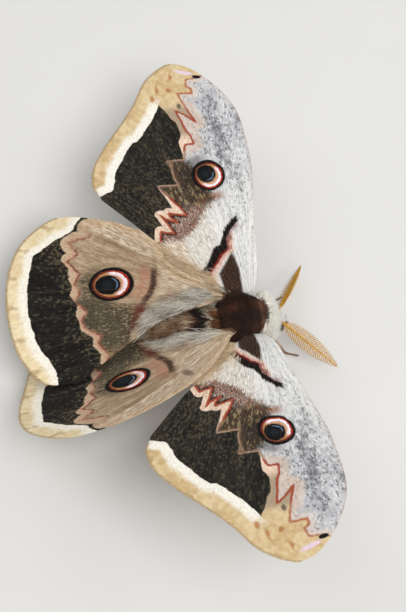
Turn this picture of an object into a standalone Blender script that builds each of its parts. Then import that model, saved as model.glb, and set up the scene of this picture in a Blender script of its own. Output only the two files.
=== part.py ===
"""Giant peacock moth, a still life-size model standing on its six feet.

The head points to -Y, the moth's left side to +X and its back to +Z. The origin is the centre of the
bounding box at the level of the feet. Lengths are metres; lists of points are in millimetres and are
scaled by MM where they are used.
"""

import math
from dataclasses import dataclass

import bmesh
import bpy
import numpy as np
from mathutils import Vector

MM = 0.001

# Height of the middle of the thorax above the floor, and the clearance kept between neighbouring pieces
THORAX_HEIGHT = 10.5 * MM
CLEARANCE = 0.35 * MM

# Wings: thickness of the membrane, height of a vein above it, half width of a vein at root and margin
MEMBRANE = 0.5 * MM
VEIN_HEIGHT = 0.24 * MM
VEIN_HALF_ROOT = 0.14 * MM
VEIN_HALF_MARGIN = 0.42 * MM
FORE_STATIONS = 10
HIND_STATIONS = 9

# Body cores under the coat: centre and half axes in millimetres
THORAX_CENTRE = (0.0, -0.2, -0.4)
THORAX_CORE = (6.0, 5.4, 6.0)
COLLAR_CENTRE = (0.0, -6.4, -0.9)
COLLAR_CORE = (5.6, 2.9, 4.6)
HEAD_CENTRE = (0.0, -9.9, -4.2)
HEAD_HALF = (2.3, 2.5, 2.4)
EYE_CENTRE = (2.75, -10.6, -4.4)
EYE_RADIUS = 1.15

# Coat: rows of locks on each mass, with length, width and thickness of a lock in millimetres
THORAX_LOCKS = 42
THORAX_LOCK = (3.1, 2.8, 0.75)
COLLAR_LOCKS = 26
COLLAR_LOCK = (3.3, 2.5, 0.75)
ABDOMEN_ANGLES = (35, 62, 90)
ABDOMEN_ROW = 5
ABDOMEN_LOCK = (4.2, 2.6, 0.7)
SIDE_LOCKS = 5
SIDE_LOCK = (10.5, 2.3, 0.8)
SIDE_FROM = 0.10
SIDE_STEP = 0.055
SIDE_ANGLES = (28, 42, 56)
ROOT_DEPTH = 0.9
COAT_SEED = 11

# Abdomen: spine of its core from base to tip, half widths and half heights along it
ABDOMEN_SPINE = [(0, 5.4, -1.0), (0, 11, -0.8), (0, 17, -0.6), (0, 24.2, -0.2)]
ABDOMEN_HALF_WIDTH = [3.5, 3.7, 3.0, 0.9]
ABDOMEN_HALF_HEIGHT = [3.7, 3.7, 2.9, 0.8]
ABDOMEN_SEGMENTS = 7

# Antennae: base, directions, length, longest side branch and how many branches a side
ANTENNA_BASE = (1.9, -11.3, -2.9)
ANTENNA_LEFT_TO = (0.80, -0.53, -0.24)
ANTENNA_RIGHT_TO = (-0.80, -0.60, -0.04)
ANTENNA_FACE = (0.43, 0.16, 0.89)
ANTENNA_LEFT_ROLL = -34.0
ANTENNA_RIGHT_ROLL = 0.0
ANTENNA_LENGTH = 19.0
ANTENNA_DROOP = 0.8
ANTENNA_SHAFT = (0.5, 0.26)
ANTENNA_BRANCH = 2.35
ANTENNA_BRANCHES = 12
ANTENNA_FEATHERED = (0.07, 0.93)
ANTENNA_LEAN = 0.42
ANTENNA_HALF = 0.3

# Legs of the left side: hip, knee, ankle and toe, in millimetres
LEGS = {
    "fore": [(2.6, -4.6, -6.4), (6.4, -8.2, -5.0), (7.6, -11.2, -9.7), (9.2, -15.0, -10.3)],
    "mid": [(3.6, -0.4, -7.0), (9.0, -0.8, -4.6), (12.6, -0.6, -9.7), (17.2, 0.4, -10.3)],
    "hind": [(3.0, 3.6, -6.6), (7.4, 8.2, -4.2), (9.0, 15.0, -9.7), (9.8, 20.6, -10.3)],
}
LEG_HALF = [1.0, 0.85, 0.6, 0.42]


@dataclass(frozen=True)
class Pose:
    """Where a wing is hinged and how it is held: angles in degrees, bends per metre of span."""

    side: int
    base: tuple
    sweep: float
    dihedral: float
    pitch: float
    bend_span: float
    bend_twist: float
    bend_chord: float
    dip: tuple
    level_from: float = 99.0
    level_rate: float = 0.0


# How far inside its hinge a wing's root starts, and how far the root dips to the side of the thorax
FORE_ROOT = -1.5
HIND_ROOT = -2.4
FORE_DIP = (1.0, 9.0)
HIND_DIP = (3.1, 13.0)
RIGHT_DIP = (2.0, 10.0)

FORE_BASE = (7.2, -2.8, 3.9)
HIND_BASE = (5.2, 6.5, 6.6)
POSES = {
    "forewing_left": Pose(1, FORE_BASE, 1.7, 8.9, 0.9, -0.76, -0.49, -0.38, FORE_DIP),
    "forewing_right": Pose(-1, FORE_BASE, 4.4, 20.9, 4.7, -0.20, -1.10, -0.62, FORE_DIP),
    "hindwing_left": Pose(1, HIND_BASE, 59.1, -7.95, -27.9, 0.71, 9.63, 2.90, HIND_DIP),
    "hindwing_right": Pose(-1, HIND_BASE, 62.2, -11.6, -33.1, 5.04, -2.69, 2.61, RIGHT_DIP, 16.0, 20.0),
}

# Forewing: leading edge, then each vein from root to margin, then the inner edge
FORE_LINES = [
    [(FORE_ROOT, -3.2), (9, -5.2), (19, -7.2), (29, -9.4)],
    [(FORE_ROOT, -2.6), (10, -4.2), (22, -6.2), (37.5, -10.7)],
    [(FORE_ROOT, -1.9), (12, -2.6), (30, -4.6), (52.5, -10.4)],
    [(FORE_ROOT, -1.2), (14, -1.2), (36, -2.2), (64.0, -4.5)],
    [(FORE_ROOT, -0.5), (14, 0.0), (36, -0.6), (70.0, 3.2)],
    [(FORE_ROOT, 0.2), (15, 1.2), (36, 1.6), (66.4, 11.4)],
    [(FORE_ROOT, 0.9), (15, 2.5), (35, 5.0), (59.0, 16.8)],
    [(FORE_ROOT, 1.6), (14, 3.9), (33, 9.4), (52.8, 22.1)],
    [(FORE_ROOT, 2.3), (13, 5.2), (29, 12.4), (47.2, 27.4)],
    [(FORE_ROOT, 3.0), (12, 6.8), (25, 15.2), (41.5, 31.6)],
    [(FORE_ROOT, 3.7), (10, 8.6), (20, 17.4), (36.4, 33.0)],
    [(FORE_ROOT, 4.6), (8, 10.2), (18, 20.6), (31.6, 31.8)],
]

# The left forewing's inner edge, which spreads further under the raised hindwing beside the body
LEFT_INNER = [(FORE_ROOT, 4.6), (6.5, 13.0), (12.5, 18.4), (18, 21.3), (31.6, 31.8)]

# Hindwing in the same order, from the shoulder round to the edge beside the abdomen
HIND_LINES = [
    [(HIND_ROOT, -1.4), (4.5, -6.4), (10, -9.8), (17, -11.3)],
    [(HIND_ROOT, -1.0), (8, -6.2), (18, -9.2), (33, -11.9)],
    [(HIND_ROOT, -0.6), (10, -3.8), (24, -6.0), (46.6, -9.7)],
    [(HIND_ROOT, -0.2), (11, -1.9), (26, -2.8), (52.9, -2.0)],
    [(HIND_ROOT, 0.2), (11, -0.3), (26, 1.2), (53.6, 5.6)],
    [(HIND_ROOT, 0.6), (11, 1.2), (25, 5.2), (51.4, 13.2)],
    [(HIND_ROOT, 1.0), (10, 2.8), (23, 8.8), (47.2, 20.8)],
    [(HIND_ROOT, 1.5), (9.5, 4.4), (20, 12.6), (41.2, 28.0)],
    [(HIND_ROOT, 2.0), (8.5, 5.8), (16.4, 15.6), (33.4, 32.6)],
    [(HIND_ROOT, 2.6), (8, 6.6), (14.4, 13.6), (26.4, 30.8)],
]

# The left hindwing's shoulder is folded in under the forewing; these stand for its first lines
LEFT_SHOULDER = [
    [(HIND_ROOT, -1.4), (7, -2.9), (14, -5.0), (18, -9.0), (24, -11.5)],
    [(HIND_ROOT, -1.0), (9, -2.5), (18, -5.8), (33, -11.9)],
    [(HIND_ROOT, -0.6), (10, -1.9), (24, -5.0), (46.6, -9.7)],
    [(HIND_ROOT, -0.2), (11, -1.0), (26, -2.6), (52.9, -2.0)],
]

COLOURS = {
    "head": ((0.075, 0.045, 0.040), 0.85),
    "eye": ((0.020, 0.014, 0.012), 0.18),
    "antenna": ((0.58, 0.34, 0.11), 0.7),
    "collar": ((0.86, 0.85, 0.80), 0.9),
    "thorax": ((0.060, 0.028, 0.022), 0.95),
    "abdomen": ((0.30, 0.15, 0.08), 0.9),
    "forewing": ((0.17, 0.14, 0.11), 0.75),
    "hindwing": ((0.40, 0.31, 0.22), 0.75),
    "leg": ((0.22, 0.09, 0.06), 0.85),
}


def clear_scene():
    """Removes every object, so that the file can be run again."""
    for obj in list(bpy.data.objects):
        bpy.data.objects.remove(obj, do_unlink=True)


def material(kind):
    """The Principled material of one kind of piece."""
    name = "moth_" + kind
    mat = bpy.data.materials.get(name) or bpy.data.materials.new(name)
    mat.use_nodes = True
    shader = mat.node_tree.nodes["Principled BSDF"]
    colour, roughness = COLOURS[kind]
    shader.inputs["Base Color"].default_value = (*colour, 1.0)
    shader.inputs["Roughness"].default_value = roughness
    shader.inputs["Metallic"].default_value = 0.0
    return mat


def smooth_line(points, count):
    """Evenly numbered points on a smooth curve through the given points."""
    pts = np.array(points, float)
    ends = np.vstack([2 * pts[0] - pts[1], pts, 2 * pts[-1] - pts[-2]])
    spans = len(pts) - 1
    out = []
    for t in np.linspace(0, spans, count):
        i = min(int(t), spans - 1)
        f = t - i
        a, b, c, d = ends[i:i + 4]
        bent = (2 * a - 5 * b + 4 * c - d) * f**2 + (3 * b - a - 3 * c + d) * f**3
        out.append(0.5 * (2 * b + (c - a) * f + bent))
    return np.array(out)


def turn(axis, degrees):
    """Rotation matrix about a coordinate axis."""
    c = math.cos(math.radians(degrees))
    s = math.sin(math.radians(degrees))
    if axis == "x":
        return np.array([[1, 0, 0], [0, c, -s], [0, s, c]])
    if axis == "y":
        return np.array([[c, 0, s], [0, 1, 0], [-s, 0, c]])
    return np.array([[c, -s, 0], [s, c, 0], [0, 0, 1]])


def wing_place(pose, across, offset):
    """World points, in metres, of points of the wing's plane raised by an offset from its middle surface."""
    u, v = across[..., 0], across[..., 1]
    sag = (pose.bend_span * u * u + pose.bend_twist * u * v + pose.bend_chord * v * v) * MM
    sag = sag + pose.level_rate * np.clip(v - pose.level_from, 0, None) ** 2 * MM
    depth, reach = pose.dip
    sag = sag - depth * np.clip(1 - u / reach, 0, None) ** 2
    local = np.stack([u, v, sag + offset], -1)
    held = turn("z", pose.sweep) @ turn("y", -pose.dihedral) @ turn("x", pose.pitch)
    world = local @ held.T + np.array(pose.base)
    world[..., 0] *= pose.side
    return world * MM


def new_object(name, verts, faces, kind):
    """A mesh object with outward faces, in the scene's collection."""
    mesh = bpy.data.meshes.new(name)
    mesh.from_pydata([tuple(v) for v in verts], [], [tuple(f) for f in faces])
    obj = bpy.data.objects.new(name, mesh)
    COLLECTION.objects.link(obj)
    mend(obj)
    obj.data.materials.append(material(kind))
    return obj


def mend(obj):
    """Welds stray points and turns every face outward."""
    bm = bmesh.new()
    bm.from_mesh(obj.data)
    bmesh.ops.remove_doubles(bm, verts=bm.verts, dist=1e-6)
    bmesh.ops.recalc_face_normals(bm, faces=bm.faces)
    bm.to_mesh(obj.data)
    bm.free()


def between(paths, i):
    """The line half way between two neighbouring veins, bowed as its neighbours are."""
    before = paths[i - 1] if i > 0 else 2 * paths[i] - paths[i + 1]
    after = paths[i + 2] if i + 2 < len(paths) else 2 * paths[i + 1] - paths[i]
    return (9 * (paths[i] + paths[i + 1]) - before - after) / 16


def wing_lines(lines, stations):
    """Grid of the wing's plane: each vein as three lines with one line between neighbouring veins."""
    paths = [smooth_line(line, stations) for line in lines]
    share = np.linspace(0, 1, stations)[:, None]
    half = (VEIN_HALF_ROOT + (VEIN_HALF_MARGIN - VEIN_HALF_ROOT) * share) / MM
    rows, ridge = [paths[0]], [0.6]
    for i in range(1, len(paths) - 1):
        back = between(paths, i - 1) - paths[i]
        back = back / np.linalg.norm(back, axis=1)[:, None]
        ahead = between(paths, i) - paths[i]
        ahead = ahead / np.linalg.norm(ahead, axis=1)[:, None]
        rows += [between(paths, i - 1), paths[i] + back * half, paths[i], paths[i] + ahead * half]
        ridge += [0, 0, 1, 0]
    rows += [between(paths, len(paths) - 2), paths[-1]]
    ridge += [0, 0.3]
    return np.array(rows), np.array(ridge)


def shell_faces(rows, columns):
    """Triangles of a closed thin plate on a grid: upper face, lower face split alike, and the rim."""
    count = rows * columns
    faces = []
    for i in range(rows - 1):
        for j in range(columns - 1):
            a = i * columns + j
            b, c, d = a + 1, a + columns + 1, a + columns
            faces += [(a, b, c), (a, c, d)]
            faces += [(a + count, c + count, b + count), (a + count, d + count, c + count)]
    rim = [i * columns for i in range(rows)]
    rim += [(rows - 1) * columns + j for j in range(1, columns)]
    rim += [i * columns + columns - 1 for i in range(rows - 2, -1, -1)]
    rim += list(range(columns - 2, 0, -1))
    for a, b in zip(rim, rim[1:] + rim[:1]):
        faces += [(a, b, b + count), (a, b + count, a + count)]
    return faces


def lines_of(name):
    """The lines from root to margin that shape one wing."""
    left = POSES[name].side > 0
    if name.startswith("fore"):
        return FORE_LINES[:-1] + [LEFT_INNER] if left else FORE_LINES
    return LEFT_SHOULDER + HIND_LINES[len(LEFT_SHOULDER):] if left else HIND_LINES


def make_wing(name):
    """One wing, a thin bent membrane whose veins rise on both faces."""
    pose = POSES[name]
    fore = name.startswith("fore")
    stations = FORE_STATIONS if fore else HIND_STATIONS
    grid, ridge = wing_lines(lines_of(name), stations)
    fade = np.linspace(1.0, 0.45, stations)
    rise = MEMBRANE / 2 + VEIN_HEIGHT * ridge[:, None] * fade[None, :]
    top = wing_place(pose, grid, rise / MM)
    low = wing_place(pose, grid, -rise / MM)
    verts = np.concatenate([top.reshape(-1, 3), low.reshape(-1, 3)])
    return new_object(name, verts, shell_faces(*grid.shape[:2]), "forewing" if fore else "hindwing")


def wing_cutter(name, margin):
    """A thicker copy of a wing, which clears a space for it in its neighbours."""
    pose = POSES[name]
    paths = np.array([smooth_line(line, 13) for line in lines_of(name)])
    grow = margin / MM
    first = paths[:, 1] - paths[:, 0]
    paths[:, 0] -= first / np.linalg.norm(first, axis=1)[:, None] * grow
    for edge, inner in ((0, 1), (-1, -2)):
        away = paths[edge] - paths[inner]
        paths[edge] += away / np.linalg.norm(away, axis=1)[:, None] * grow
    rise = np.full(paths.shape[:2], (MEMBRANE / 2 + VEIN_HEIGHT + margin) / MM)
    top = wing_place(pose, paths, rise)
    low = wing_place(pose, paths, -rise)
    verts = np.concatenate([top.reshape(-1, 3), low.reshape(-1, 3)])
    mesh = bpy.data.meshes.new(name + "_space")
    mesh.from_pydata([tuple(v) for v in verts], [], shell_faces(*paths.shape[:2]))
    cutter = bpy.data.objects.new(name + "_space", mesh)
    CUTTERS.objects.link(cutter)
    mend(cutter)
    cutter.hide_render = True
    cutter.display_type = "WIRE"
    return cutter


def ball(name, centre, half, kind, segments=24, rings=14, collection=None):
    """A sphere scaled to the given centre and half axes, in millimetres."""
    mesh = bpy.data.meshes.new(name)
    bm = bmesh.new()
    bmesh.ops.create_uvsphere(bm, u_segments=segments, v_segments=rings, radius=1.0)
    for vert in bm.verts:
        vert.co = Vector([(c + h * q) * MM for c, h, q in zip(centre, half, vert.co)])
    bm.to_mesh(mesh)
    bm.free()
    obj = bpy.data.objects.new(name, mesh)
    (collection or COLLECTION).objects.link(obj)
    if collection is not None:
        obj.hide_render = True
        obj.display_type = "WIRE"
    else:
        mesh.materials.append(material(kind))
        mesh.shade_smooth()
    return obj


def tube(points, halves, sides, flat=1.0, up=(0, 0, 1)):
    """Points and faces of a tapered tube along a line, closed at both ends; flat squeezes it one way."""
    points = np.asarray(points, float)
    along = np.gradient(points, axis=0)
    along /= np.linalg.norm(along, axis=1)[:, None]
    wide = np.cross(along, np.array(up, float))
    wide /= np.linalg.norm(wide, axis=1)[:, None]
    tall = np.cross(wide, along)
    angles = np.arange(sides) * 2 * math.pi / sides
    verts = []
    for p, w, t, h in zip(points, wide, tall, halves):
        for a in angles:
            verts.append(p + w * h * math.cos(a) + t * h * flat * math.sin(a))
    faces = []
    for i in range(len(points) - 1):
        for k in range(sides):
            a, b = i * sides + k, i * sides + (k + 1) % sides
            faces.append((a, b, b + sides, a + sides))
    faces.append(tuple(range(sides))[::-1])
    faces.append(tuple(range((len(points) - 1) * sides, len(points) * sides)))
    return verts, faces


def cut(obj, cutters, solver="EXACT"):
    """Takes the cutters' spaces out of an object, and keeps the largest closed piece."""
    for cutter in cutters:
        mod = obj.modifiers.new("space", "BOOLEAN")
        mod.operation = "DIFFERENCE"
        mod.solver = solver
        mod.object = cutter
    apply_modifiers(obj)
    keep_largest(obj)


def apply_modifiers(obj):
    """Replaces the mesh by its evaluated form."""
    graph = bpy.context.evaluated_depsgraph_get()
    mesh = bpy.data.meshes.new_from_object(obj.evaluated_get(graph), depsgraph=graph)
    obj.modifiers.clear()
    obj.data = mesh


def keep_largest(obj):
    """Leaves only the closed surface with the most faces."""
    bm = bmesh.new()
    bm.from_mesh(obj.data)
    left = set(bm.verts)
    best = set()
    while left:
        group = {left.pop()}
        edge = list(group)
        while edge:
            vert = edge.pop()
            for link in vert.link_edges:
                other = link.other_vert(vert)
                if other in left:
                    left.remove(other)
                    group.add(other)
                    edge.append(other)
        if len(group) > len(best):
            best = group
    bmesh.ops.delete(bm, geom=[v for v in bm.verts if v not in best], context="VERTS")
    bm.to_mesh(obj.data)
    bm.free()


def fuse(obj, pieces):
    """Joins closed pieces, given as points and faces in millimetres, to an object by one union."""
    group = bpy.data.collections.new(obj.name + "_pieces")
    bpy.context.scene.collection.children.link(group)
    for i, (verts, faces) in enumerate(pieces):
        mesh = bpy.data.meshes.new(f"{obj.name}_piece_{i}")
        mesh.from_pydata([tuple(q * MM for q in v) for v in verts], [], faces)
        piece = bpy.data.objects.new(mesh.name, mesh)
        group.objects.link(piece)
        mend(piece)
    mod = obj.modifiers.new("union", "BOOLEAN")
    mod.operation = "UNION"
    mod.operand_type = "COLLECTION"
    mod.solver = "MANIFOLD"
    mod.collection = group
    apply_modifiers(obj)
    for piece in list(group.objects):
        bpy.data.objects.remove(piece, do_unlink=True)
    bpy.data.collections.remove(group)
    keep_largest(obj)


def unit(vector):
    """The vector at length one."""
    vector = np.asarray(vector, float)
    return vector / np.linalg.norm(vector)


def lock(root, out, lie, length, width, thick, bend=0.55, sink=ROOT_DEPTH, steps=4):
    """One flat tapered lock: it rises along out, bends over towards lie and ends in a point."""
    out = unit(out)
    lie = unit(lie - out * np.dot(lie, out))
    side = np.cross(out, lie)
    t = np.linspace(0, 1, steps + 1)
    rise = (1 - bend) * length * (1 - (1 - t) ** 2)
    run = length * (0.25 * t + 0.75 * t**1.5) * math.sqrt(max(0.0, 1 - (1 - bend) ** 2))
    line = np.asarray(root) + out * (rise - sink * (1 - t) ** 3)[:, None] + lie * run[:, None]
    along = np.gradient(line, axis=0)
    broad = width / 2 * np.interp(t, (0, 0.3, 0.6, 1), (0.8, 1.0, 0.8, 0.0))
    deep = thick * np.interp(t, (0, 0.3, 0.7, 1), (1.0, 1.0, 0.7, 0.0))
    verts = []
    for i in range(steps):
        face = unit(np.cross(side, along[i]))
        verts += [line[i] + side * broad[i], line[i] + face * deep[i], line[i] - side * broad[i]]
    verts.append(line[-1])
    faces = [(2, 1, 0)]
    for i in range(steps - 1):
        for k in range(3):
            a, b = i * 3 + k, i * 3 + (k + 1) % 3
            faces.append((a, b, b + 3, a + 3))
    last = (steps - 1) * 3
    faces += [(last + k, last + (k + 1) % 3, last + 3) for k in range(3)]
    return verts, faces


def dome_locks(centre, half, count, size, rng, allowed, lie_of):
    """Locks set evenly over the part of an ellipsoid for which allowed is true."""
    centre, half = np.array(centre), np.array(half)
    golden = math.pi * (3 - math.sqrt(5))
    spots = []
    total = count
    while len(spots) < count:
        total += 4
        index = np.arange(total) + 0.5
        high = 1 - 2 * index / total
        ring = np.sqrt(1 - high**2)
        round_ = np.stack([ring * np.cos(golden * index), ring * np.sin(golden * index), high], -1)
        spots = [p for p in round_ if allowed(p)]
    pieces = []
    for p in spots[:count]:
        out = unit(p / half)
        length, width, thick = np.array(size) * rng.uniform((0.85, 0.88, 0.9), (1.15, 1.12, 1.1))
        lie = unit(lie_of(p)) + rng.uniform(-0.25, 0.25, 3)
        pieces.append(lock(centre + p * half, out, lie, length, width, thick))
    return pieces


def make_thorax(rng):
    """The chocolate middle of the body, its coat lying back from the neck and outward from the midline."""
    thorax = ball("thorax", THORAX_CENTRE, THORAX_CORE, "thorax", 18, 10)
    pieces = dome_locks(
        THORAX_CENTRE, THORAX_CORE, THORAX_LOCKS, THORAX_LOCK, rng,
        lambda p: p[2] > -0.05 or (p[2] > -0.45 and abs(p[0]) > 0.6),
        lambda p: np.array((p[0] * 1.1, 0.75 + 0.3 * p[1], 0.25 * p[2] - 0.1)),
    )
    fuse(thorax, pieces)
    return thorax


def make_collar(rng):
    """The white ruff before the thorax, its wool spreading forward and to the sides over the head."""
    collar = ball("collar", COLLAR_CENTRE, COLLAR_CORE, "collar", 18, 10)
    pieces = dome_locks(
        COLLAR_CENTRE, COLLAR_CORE, COLLAR_LOCKS, COLLAR_LOCK, rng,
        lambda p: p[1] < 0.1 and p[2] > -0.55,
        lambda p: np.array((p[0] * 0.9, -0.9, 0.35 - 0.5 * p[2])),
    )
    fuse(collar, pieces)
    return collar


def abdomen_frame(share):
    """Middle, half width and half height of the abdomen's core at a share of its length."""
    middle = smooth_line(ABDOMEN_SPINE, 101)[int(round(share * 100))]
    place = share * (len(ABDOMEN_HALF_WIDTH) - 1)
    wide = np.interp(place, range(len(ABDOMEN_HALF_WIDTH)), ABDOMEN_HALF_WIDTH)
    tall = np.interp(place, range(len(ABDOMEN_HALF_HEIGHT)), ABDOMEN_HALF_HEIGHT)
    return middle, wide, tall


def make_abdomen(rng):
    """The abdomen: a tapering core of rings, short locks over its back and long pale ones along its sides."""
    count = 2 * ABDOMEN_SEGMENTS + 1
    spine = smooth_line(ABDOMEN_SPINE, count)
    widths = smooth_line([(w,) for w in ABDOMEN_HALF_WIDTH], count)[:, 0]
    heights = smooth_line([(h,) for h in ABDOMEN_HALF_HEIGHT], count)[:, 0]
    pinch = np.where(np.arange(count) % 2 == 0, 0.94, 1.0)
    sides = 14
    verts, faces = tube(spine * MM, widths * pinch * MM, sides)
    for i in range(count):
        mid = spine[i] * MM
        for k in range(sides):
            vert = verts[i * sides + k]
            vert[2] = mid[2] + (vert[2] - mid[2]) * heights[i] / widths[i]
    abdomen = new_object("abdomen", verts, faces, "abdomen")
    pieces = []
    for row, degrees in enumerate(ABDOMEN_ANGLES):
        for k in range(ABDOMEN_ROW):
            share = (k + 0.5 * (row % 2) + 0.3) / (ABDOMEN_ROW + 0.4)
            angle = math.radians(degrees)
            for side in ((-1, 1) if degrees < 90 else (1,)):
                mid, wide, tall = abdomen_frame(share)
                spot = mid + np.array((side * wide * math.cos(angle), 0, tall * math.sin(angle)))
                out = (side * math.cos(angle), 0.0, math.sin(angle))
                scale = rng.uniform(0.9, 1.1, 3) * (1.1 - 0.35 * share)
                length, width, thick = np.array(ABDOMEN_LOCK) * scale
                pieces.append(lock(spot, out, np.array((0.0, 1.0, 0.0)), length, width, thick, bend=0.72))
    for side in (-1, 1):
        for k in range(SIDE_LOCKS):
            share = SIDE_FROM + SIDE_STEP * k
            mid, wide, tall = abdomen_frame(share)
            angle = math.radians(SIDE_ANGLES[k % 3])
            spot = mid + np.array((side * wide * math.cos(angle), 0, tall * math.sin(angle)))
            out = (side * 0.9, 0.15, 0.45)
            length, width, thick = np.array(SIDE_LOCK) * rng.uniform(0.9, 1.08, 3) * (1.05 - 0.03 * k)
            lie = np.array((side * (0.10 + 0.05 * (k % 3)), 1.0, -0.12))
            pieces.append(lock(spot, out, lie, length, width, thick, bend=0.80))
    fuse(abdomen, pieces)
    return abdomen


def make_antenna(name, side, towards, roll):
    """A feathered antenna rolled about its shaft, with two rows of tapered branches."""
    base = np.array(ANTENNA_BASE) * (side, 1, 1)
    face = unit(np.array(ANTENNA_FACE) * (side, 1, 1))
    ahead = unit(towards)
    level = unit(np.cross(face, ahead))
    upward = np.cross(ahead, level)
    turned = math.radians(roll)
    across = level * math.cos(turned) + upward * math.sin(turned)
    face = upward * math.cos(turned) - level * math.sin(turned)
    steps = np.linspace(0, 1, 10)
    line = base + ahead * ANTENNA_LENGTH * steps[:, None] - face * ANTENNA_DROOP * (steps**2)[:, None]
    verts, faces = tube(line * MM, np.linspace(*ANTENNA_SHAFT, 10) * MM, 6, up=face)
    antenna = new_object(name, verts, faces, "antenna")
    pieces = []
    for share in np.linspace(*ANTENNA_FEATHERED, ANTENNA_BRANCHES):
        start = base + ahead * ANTENNA_LENGTH * share - face * ANTENNA_DROOP * share**2
        reach = ANTENNA_BRANCH * (math.sin(math.pi * min(1.0, share**0.75 * 1.02)) ** 0.8 + 0.12)
        for way in (-1, 1):
            t = np.linspace(0, 1, 3)
            bend = ahead * (ANTENNA_LEAN * reach * t**1.4)[:, None]
            curve = start + across * way * (reach * t)[:, None] + bend
            halves = ANTENNA_HALF * (1 - 0.45 * t)
            pieces.append(tube(curve, halves, 4, up=face))
    fuse(antenna, pieces)
    return antenna


def make_leg(name, side, kind):
    """A bent leg whose last joint lies flat on the floor."""
    points = np.array(LEGS[kind]) * (side, 1, 1)
    line = smooth_line(points, 13)
    halves = np.interp(np.linspace(0, 3, 13), range(4), LEG_HALF)
    verts, faces = tube(line * MM, halves * MM, 8, up=(0.1, 0.05, 1))
    floor = -THORAX_HEIGHT
    verts = [(v[0], v[1], max(v[2], floor)) for v in verts]
    return new_object(name, verts, faces, "leg")


def stand_on_origin():
    """Moves the whole animal so that its bounding box stands on the origin."""
    pieces = list(COLLECTION.objects)
    points = np.concatenate([np.array([tuple(v.co) for v in obj.data.vertices]) for obj in pieces])
    low, high = points.min(axis=0), points.max(axis=0)
    shift = Vector(((low[0] + high[0]) / -2, (low[1] + high[1]) / -2, -low[2]))
    for obj in pieces:
        for vert in obj.data.vertices:
            vert.co += shift
    print("moved by", [round(q / MM, 3) for q in shift], "triangles", sum(count_triangles(o) for o in pieces))


def count_triangles(obj):
    """Number of triangles in an object's mesh."""
    total = sum(len(p.vertices) - 2 for p in obj.data.polygons)
    print(obj.name, total)
    return total


def core_space(name, centre, half, segments=20, rings=12, grow=None):
    """A body core's volume, grown by the clearance unless told otherwise, as a cutter."""
    extra = CLEARANCE / MM if grow is None else grow
    return ball(name, centre, [h + extra for h in half], "thorax", segments, rings, CUTTERS)


def coat_space(obj):
    """A finished piece pushed out by the clearance along its own surface, as a cutter."""
    bm = bmesh.new()
    bm.from_mesh(obj.data)
    bm.normal_update()
    away = [vert.normal.copy() for vert in bm.verts]
    for vert, normal in zip(bm.verts, away):
        vert.co += normal * CLEARANCE
    mesh = bpy.data.meshes.new(obj.name + "_space")
    bm.to_mesh(mesh)
    bm.free()
    cutter = bpy.data.objects.new(mesh.name, mesh)
    CUTTERS.objects.link(cutter)
    cutter.hide_render = True
    cutter.display_type = "WIRE"
    return cutter


def main():
    """Builds every piece, clears their joints and sets the animal on its origin."""
    rng = np.random.default_rng(COAT_SEED)
    wings = [make_wing(name) for name in POSES]
    legs = [
        make_leg(f"leg_{kind}_{word}", side, kind)
        for kind in LEGS
        for side, word in ((1, "left"), (-1, "right"))
    ]
    thorax = make_thorax(rng)
    collar = make_collar(rng)
    abdomen = make_abdomen(rng)
    head = ball("head", HEAD_CENTRE, HEAD_HALF, "head", 18, 12)
    antennae = [
        make_antenna("antenna_left", 1, ANTENNA_LEFT_TO, ANTENNA_LEFT_ROLL),
        make_antenna("antenna_right", -1, ANTENNA_RIGHT_TO, ANTENNA_RIGHT_ROLL),
    ]
    eyes, eye_spaces = [], []
    for name, side in (("eye_left", 1), ("eye_right", -1)):
        centre = (EYE_CENTRE[0] * side, EYE_CENTRE[1], EYE_CENTRE[2])
        eyes.append(ball(name, centre, (EYE_RADIUS,) * 3, "eye", 12, 8))
        eye_spaces.append(core_space(name + "_space", centre, (EYE_RADIUS,) * 3, 12, 8))

    thorax_space = core_space("thorax_space", THORAX_CENTRE, THORAX_CORE)
    collar_space = core_space("collar_space", COLLAR_CENTRE, COLLAR_CORE)
    head_space = core_space("head_space", HEAD_CENTRE, HEAD_HALF, 18, 12)

    # Wings end at the cores; the coat keeps clear of the wings, but only outside the cores
    for wing in wings:
        cut(wing, [thorax_space, collar_space])
    wing_spaces = [wing_cutter(name, CLEARANCE) for name in POSES]
    solid_core = core_space("solid_core", THORAX_CENTRE, THORAX_CORE, grow=0.0)
    for space in wing_spaces:
        cut(space, [solid_core])
    cut(thorax, wing_spaces, "MANIFOLD")
    thorax_coat = coat_space(thorax)
    cut(collar, [thorax_coat] + wing_spaces[:2], "MANIFOLD")
    collar_coat = coat_space(collar)
    cut(head, [collar_coat, thorax_coat] + eye_spaces, "MANIFOLD")
    cut(abdomen, [thorax_coat] + wing_spaces, "MANIFOLD")
    abdomen_coat = coat_space(abdomen)
    for leg in legs:
        cut(leg, [thorax_coat, collar_coat, abdomen_coat], "MANIFOLD")
    for antenna in antennae:
        cut(antenna, [head_space, collar_coat] + eye_spaces, "MANIFOLD")
    for cutter in list(CUTTERS.objects):
        bpy.data.objects.remove(cutter, do_unlink=True)
    stand_on_origin()


clear_scene()
COLLECTION = bpy.data.collections.new("giant_peacock_moth")
CUTTERS = bpy.data.collections.new("spaces")
for group in (COLLECTION, CUTTERS):
    bpy.context.scene.collection.children.link(group)

main()
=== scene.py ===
"""Dresses the giant peacock moth: scaled wings, furred body, feathered antennae, soft studio.

Lengths named here are millimetres in the moth's own frame: the middle of the thorax is the origin, +X is the
moth's left, +Y its tail and +Z its back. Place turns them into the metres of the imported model.
"""

import logging
import math
from collections.abc import Sequence
from dataclasses import dataclass, field, fields, replace
from enum import Enum
from types import SimpleNamespace

import bpy
import numpy as np
from mathutils import Matrix, Vector

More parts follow.
